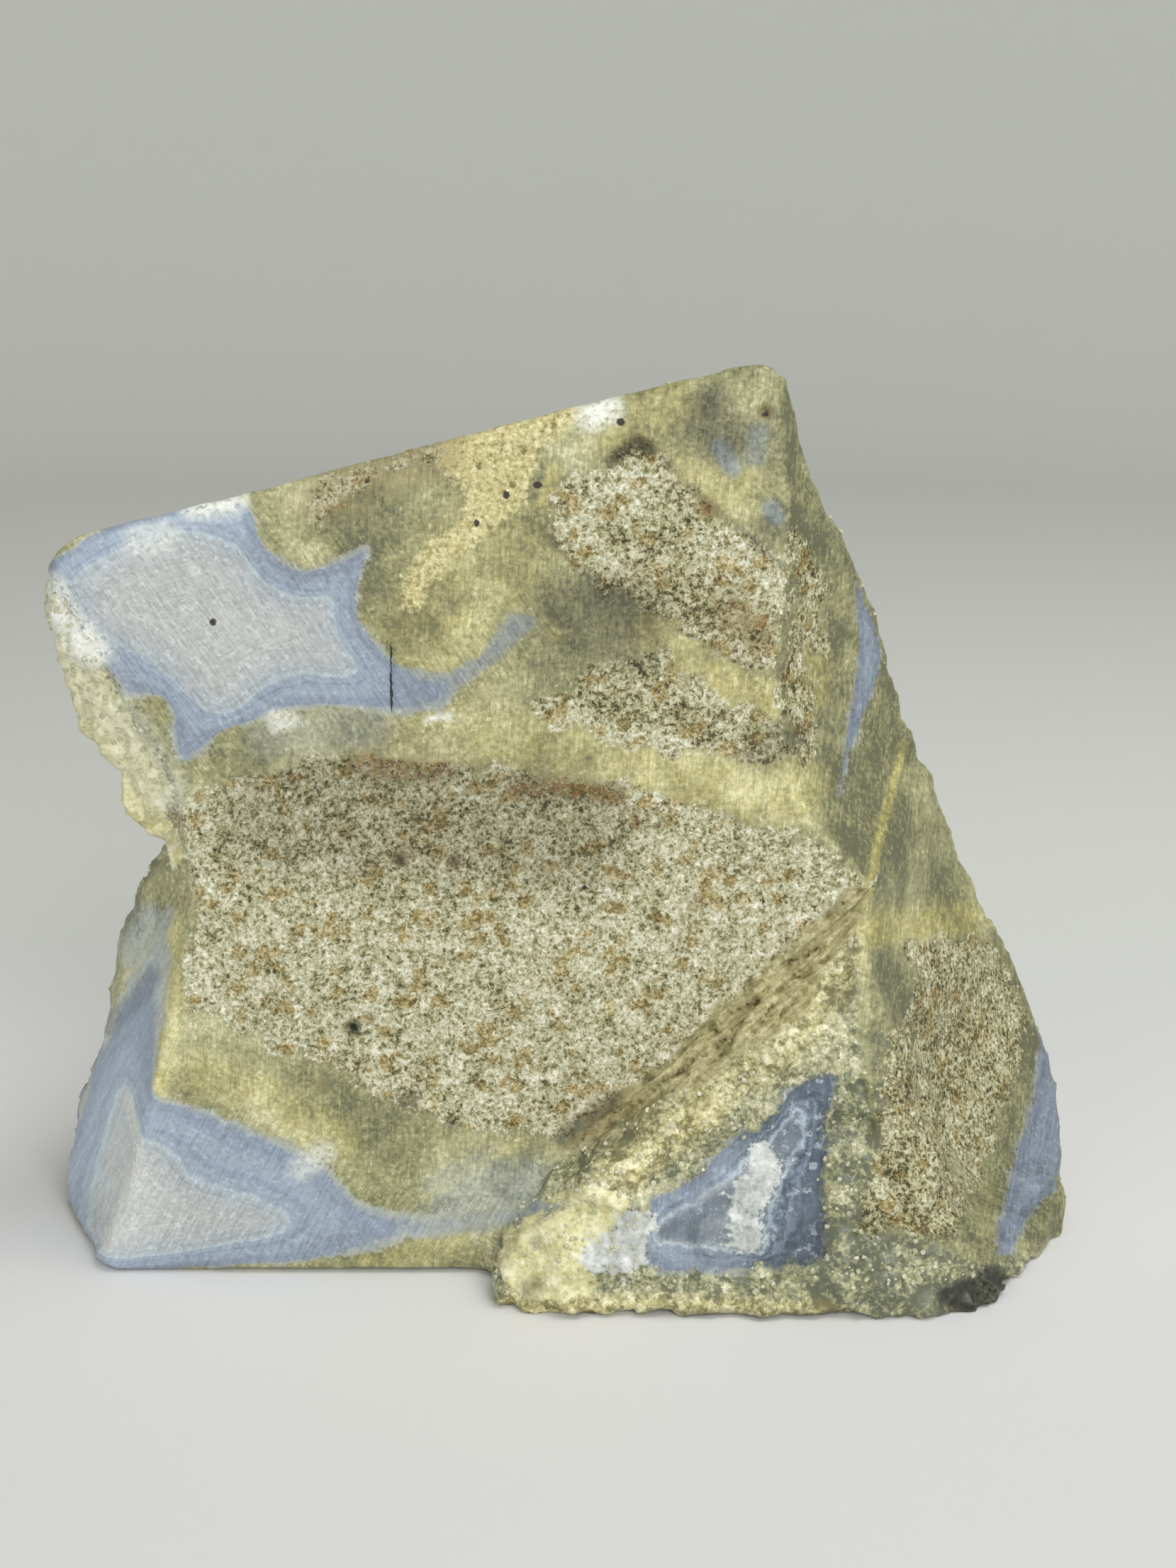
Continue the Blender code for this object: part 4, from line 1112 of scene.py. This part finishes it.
@dataclass
class SmallCrystals:
    """Small crystals that stand half sunk all over the broken stone. Sizes in mm."""

    per_square_mm: float = 0.8
    smallest: float = 0.15
    largest: float = 0.55
    seed: int = 7
    finish: CrystalFinish = field(default_factory=CrystalFinish)

    def build(self, stone: bpy.types.Object) -> bpy.types.Object:
        """Grows the crystals on the stone.

        Args:
            stone: The dressed stone, with its sparkle attribute.

        Returns:
            The crystals as one piece, at the origin.
        """
        crystal = object_of("one_crystal", self.crystal())
        carrier = object_of("carrier", stone.data.copy())
        tree = self.tree(self.finish.material())
        grow = carrier.modifiers.new("grow", "NODES")
        grow.node_group = tree
        values = {"Crystal": crystal, "Density": self.per_square_mm / MM**2, "Smallest": self.smallest * MM,
                  "Largest": self.largest * MM, "Seed": self.seed}
        for item in tree.interface.items_tree:
            if item.item_type == "SOCKET" and item.in_out == "INPUT" and item.name in values:
                grow[item.identifier] = values[item.name]
        mesh = finished_mesh(carrier)
        carrier.modifiers.clear()
        for helper in (carrier, crystal):
            bpy.data.objects.remove(helper)
        low, high = (np.array(corner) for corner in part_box(NODE))
        points = np.clip(points_of(mesh), low, high)
        mesh.vertices.foreach_set("co", points.astype(np.float32).ravel())
        mesh.update()
        made = object_of("quartz_crystals", mesh)
        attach(made, BODY)
        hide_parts(NODE)
        LOG.info("crystals: %d faces", len(mesh.polygons))
        return made

    def crystal(self) -> bpy.types.Mesh:
        """A stubby six-sided crystal with a pointed end, one unit across."""
        bm = bmesh.new()
        bmesh.ops.create_cone(bm, cap_ends=True, segments=6, radius1=0.5, radius2=0.42, depth=0.7)
        top = max(bm.faces, key=lambda face: face.calc_center_median().z)
        bmesh.ops.poke(bm, faces=[top], offset=0.36)
        mesh = bpy.data.meshes.new("one_crystal")
        bm.to_mesh(mesh)
        bm.free()
        return mesh

    def tree(self, material: bpy.types.Material) -> bpy.types.NodeTree:
        """The node tree that scatters, turns and sizes the crystals.

        Args:
            material: What the crystals are made of.

        Returns:
            The tree, with named inputs.
        """
        tree = bpy.data.node_groups.new("grow_crystals", "GeometryNodeTree")
        tree.interface.new_socket("Geometry", in_out="OUTPUT", socket_type="NodeSocketGeometry")
        for name, kind in (("Geometry", "Geometry"), ("Crystal", "Object"), ("Density", "Float"),
                           ("Smallest", "Float"), ("Largest", "Float"), ("Seed", "Int")):
            tree.interface.new_socket(name, in_out="INPUT", socket_type=f"NodeSocket{kind}")
        nodes, link = tree.nodes, tree.links.new
        given, result = nodes.new("NodeGroupInput"), nodes.new("NodeGroupOutput")
        where = nodes.new("GeometryNodeInputNamedAttribute")
        where.inputs["Name"].default_value = "sparkle"
        density = nodes.new("ShaderNodeMath")
        density.operation = "MULTIPLY"
        link(where.outputs["Attribute"], density.inputs[0])
        link(given.outputs["Density"], density.inputs[1])
        scatter = nodes.new("GeometryNodeDistributePointsOnFaces")
        link(given.outputs["Geometry"], scatter.inputs["Mesh"])
        link(density.outputs[0], scatter.inputs["Density"])
        link(given.outputs["Seed"], scatter.inputs["Seed"])
        size = nodes.new("FunctionNodeRandomValue")
        link(given.outputs["Smallest"], size.inputs[2])
        link(given.outputs["Largest"], size.inputs[3])
        link(given.outputs["Seed"], size.inputs["Seed"])
        turn = nodes.new("FunctionNodeRandomValue")
        turn.data_type = "FLOAT_VECTOR"
        turn.inputs[1].default_value = (2 * math.pi, 2 * math.pi, 2 * math.pi)
        link(given.outputs["Seed"], turn.inputs["Seed"])
        shape = nodes.new("GeometryNodeObjectInfo")
        link(given.outputs["Crystal"], shape.inputs["Object"])
        place = nodes.new("GeometryNodeInstanceOnPoints")
        link(scatter.outputs["Points"], place.inputs["Points"])
        link(shape.outputs["Geometry"], place.inputs["Instance"])
        link(turn.outputs[0], place.inputs["Rotation"])
        link(size.outputs[1], place.inputs["Scale"])
        whole, paint = nodes.new("GeometryNodeRealizeInstances"), nodes.new("GeometryNodeSetMaterial")
        paint.inputs["Material"].default_value = material
        link(place.outputs["Instances"], whole.inputs["Geometry"])
        link(whole.outputs["Geometry"], paint.inputs["Geometry"])
        link(paint.outputs["Geometry"], result.inputs["Geometry"])
        return tree


@dataclass(frozen=True)
class PaperFinish:
    """Plain matt paper: a little darker in front of the stone, paler under and behind it and on the wall."""

    floor: Stops = (
        (0.00, "#DCDCDB"), (0.20, "#E6E6E6"), (0.60, "#E3E4E1"), (1.00, "#E6E7E2"),
    )
    wall: str = "#E6E8E2"

    def material(self) -> bpy.types.Material:
        """Builds the material."""
        g = Graph("matt_paper")
        place = g.add(PLACE)
        depth = g.add(Step("ShaderNodeSeparateXYZ", (0,), 1), place)
        rise = g.add(Step("ShaderNodeSeparateXYZ", (0,), 2), place)
        floor = g.ramp(g.add(SOFT, depth, -0.06, 0.16, 0.0, 1.0), self.floor)
        on_wall = g.add(SOFT, rise, 0.0, 0.10, 0.0, 1.0)
        g.join(g.surface.inputs["Base Color"], g.add(BLEND, on_wall, floor, linear(self.wall)))
        g.surface.inputs["Roughness"].default_value = 0.9
        g.surface.inputs["IOR"].default_value = 1.5
        return g.material


@dataclass(frozen=True)
class SoftBox:
    """A square soft light: its place and side in metres, and its power in watts."""

    name: str
    place: tuple[float, float, float]
    side: float
    watts: float


@dataclass
class Studio:
    """The floor that runs up into a wall all round, three soft lights and the camera. Sizes in metres."""

    inner_radius: float = 0.12
    cove_steps: int = 12
    floor_radius: float = 0.55
    cove: float = 0.22
    wall: float = 0.60
    segments: int = 96
    lights: tuple[SoftBox, ...] = (
        SoftBox("overhead", (0.22, -0.12, 0.56), 0.36, 1.6),
        SoftBox("front", (0.17, -0.52, 0.30), 0.30, 1.8),
        SoftBox("left", (-0.40, -0.40, 0.22), 0.40, 0.42),
    )
    aim: tuple[float, float, float] = (0.0, 0.0, 0.04)
    air: str = "#F2F3F2"
    air_strength: float = 0.25
    finish: PaperFinish = field(default_factory=PaperFinish)

    def build(self) -> None:
        """Makes the stage, the lights and the camera."""
        self.stage()
        for box in self.lights:
            self.light(box)
        world = bpy.data.worlds.new("studio_air")
        world.use_nodes = True
        air = world.node_tree.nodes["Background"]
        air.inputs["Color"].default_value = linear(self.air)
        air.inputs["Strength"].default_value = self.air_strength
        bpy.context.scene.world = world
        self.camera()
        bpy.context.scene.view_settings.view_transform = "Standard"

    def stage(self) -> None:
        """Turns the outline of floor, cove and wall round the stone."""
        outline = [(self.inner_radius, 0.0), (self.floor_radius, 0.0)]
        for i in range(1, self.cove_steps + 1):
            angle = math.pi / 2 * i / self.cove_steps
            radius = self.floor_radius + self.cove * math.sin(angle)
            outline.append((radius, self.cove * (1 - math.cos(angle))))
        outline.append((self.floor_radius + self.cove, self.cove + self.wall))
        bm = bmesh.new()
        centre = bm.verts.new((0, 0, 0))
        rings = []
        for radius, rise in outline:
            turns = (2 * math.pi * i / self.segments for i in range(self.segments))
            rings.append([bm.verts.new((radius * math.cos(a), radius * math.sin(a), rise)) for a in turns])
        for i in range(self.segments):
            j = (i + 1) % self.segments
            bm.faces.new((centre, rings[0][i], rings[0][j]))
            for inner, outer in zip(rings, rings[1:]):
                bm.faces.new((inner[i], outer[i], outer[j], inner[j]))
        mesh = bpy.data.meshes.new("paper_sweep")
        bm.to_mesh(mesh)
        bm.free()
        mesh.shade_smooth()
        mesh.materials.append(self.finish.material())
        object_of("paper_sweep", mesh)

    def light(self, box: SoftBox) -> None:
        """Hangs a soft box that looks at the stone.

        Args:
            box: Its name, place, side and power.
        """
        data = bpy.data.lights.new(box.name, "AREA")
        data.shape = "RECTANGLE"
        data.size = data.size_y = box.side
        data.energy = box.watts
        lamp = bpy.data.objects.new(box.name, data)
        lamp.location = box.place
        lamp.rotation_euler = (Vector(self.aim) - Vector(box.place)).to_track_quat("-Z", "Y").to_euler()
        lamp.visible_camera = False
        bpy.context.scene.collection.objects.link(lamp)

    def camera(self) -> None:
        """The camera at the eye's place."""
        data = bpy.data.cameras.new("camera")
        data.sensor_width = SENSOR
        data.lens = FOCAL_PIXELS / IMAGE_HEIGHT * SENSOR
        data.clip_start = 0.01
        view = bpy.data.objects.new("camera", data)
        view.location = Vector((EYE + DRAWING_TO_ROW) * MM)
        view.rotation_euler = (math.pi / 2 - LOOK_DOWN, 0, 0)
        bpy.context.scene.collection.objects.link(view)
        bpy.context.scene.camera = view


def main() -> None:
    """Builds everything in order."""
    logging.basicConfig(level=logging.INFO, format="%(name)s: %(message)s")
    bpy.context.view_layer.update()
    stone = StoneBody().build(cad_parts[NODE])
    SmallCrystals().build(stone)
    Studio().build()


if __name__ == "__main__":
    main()
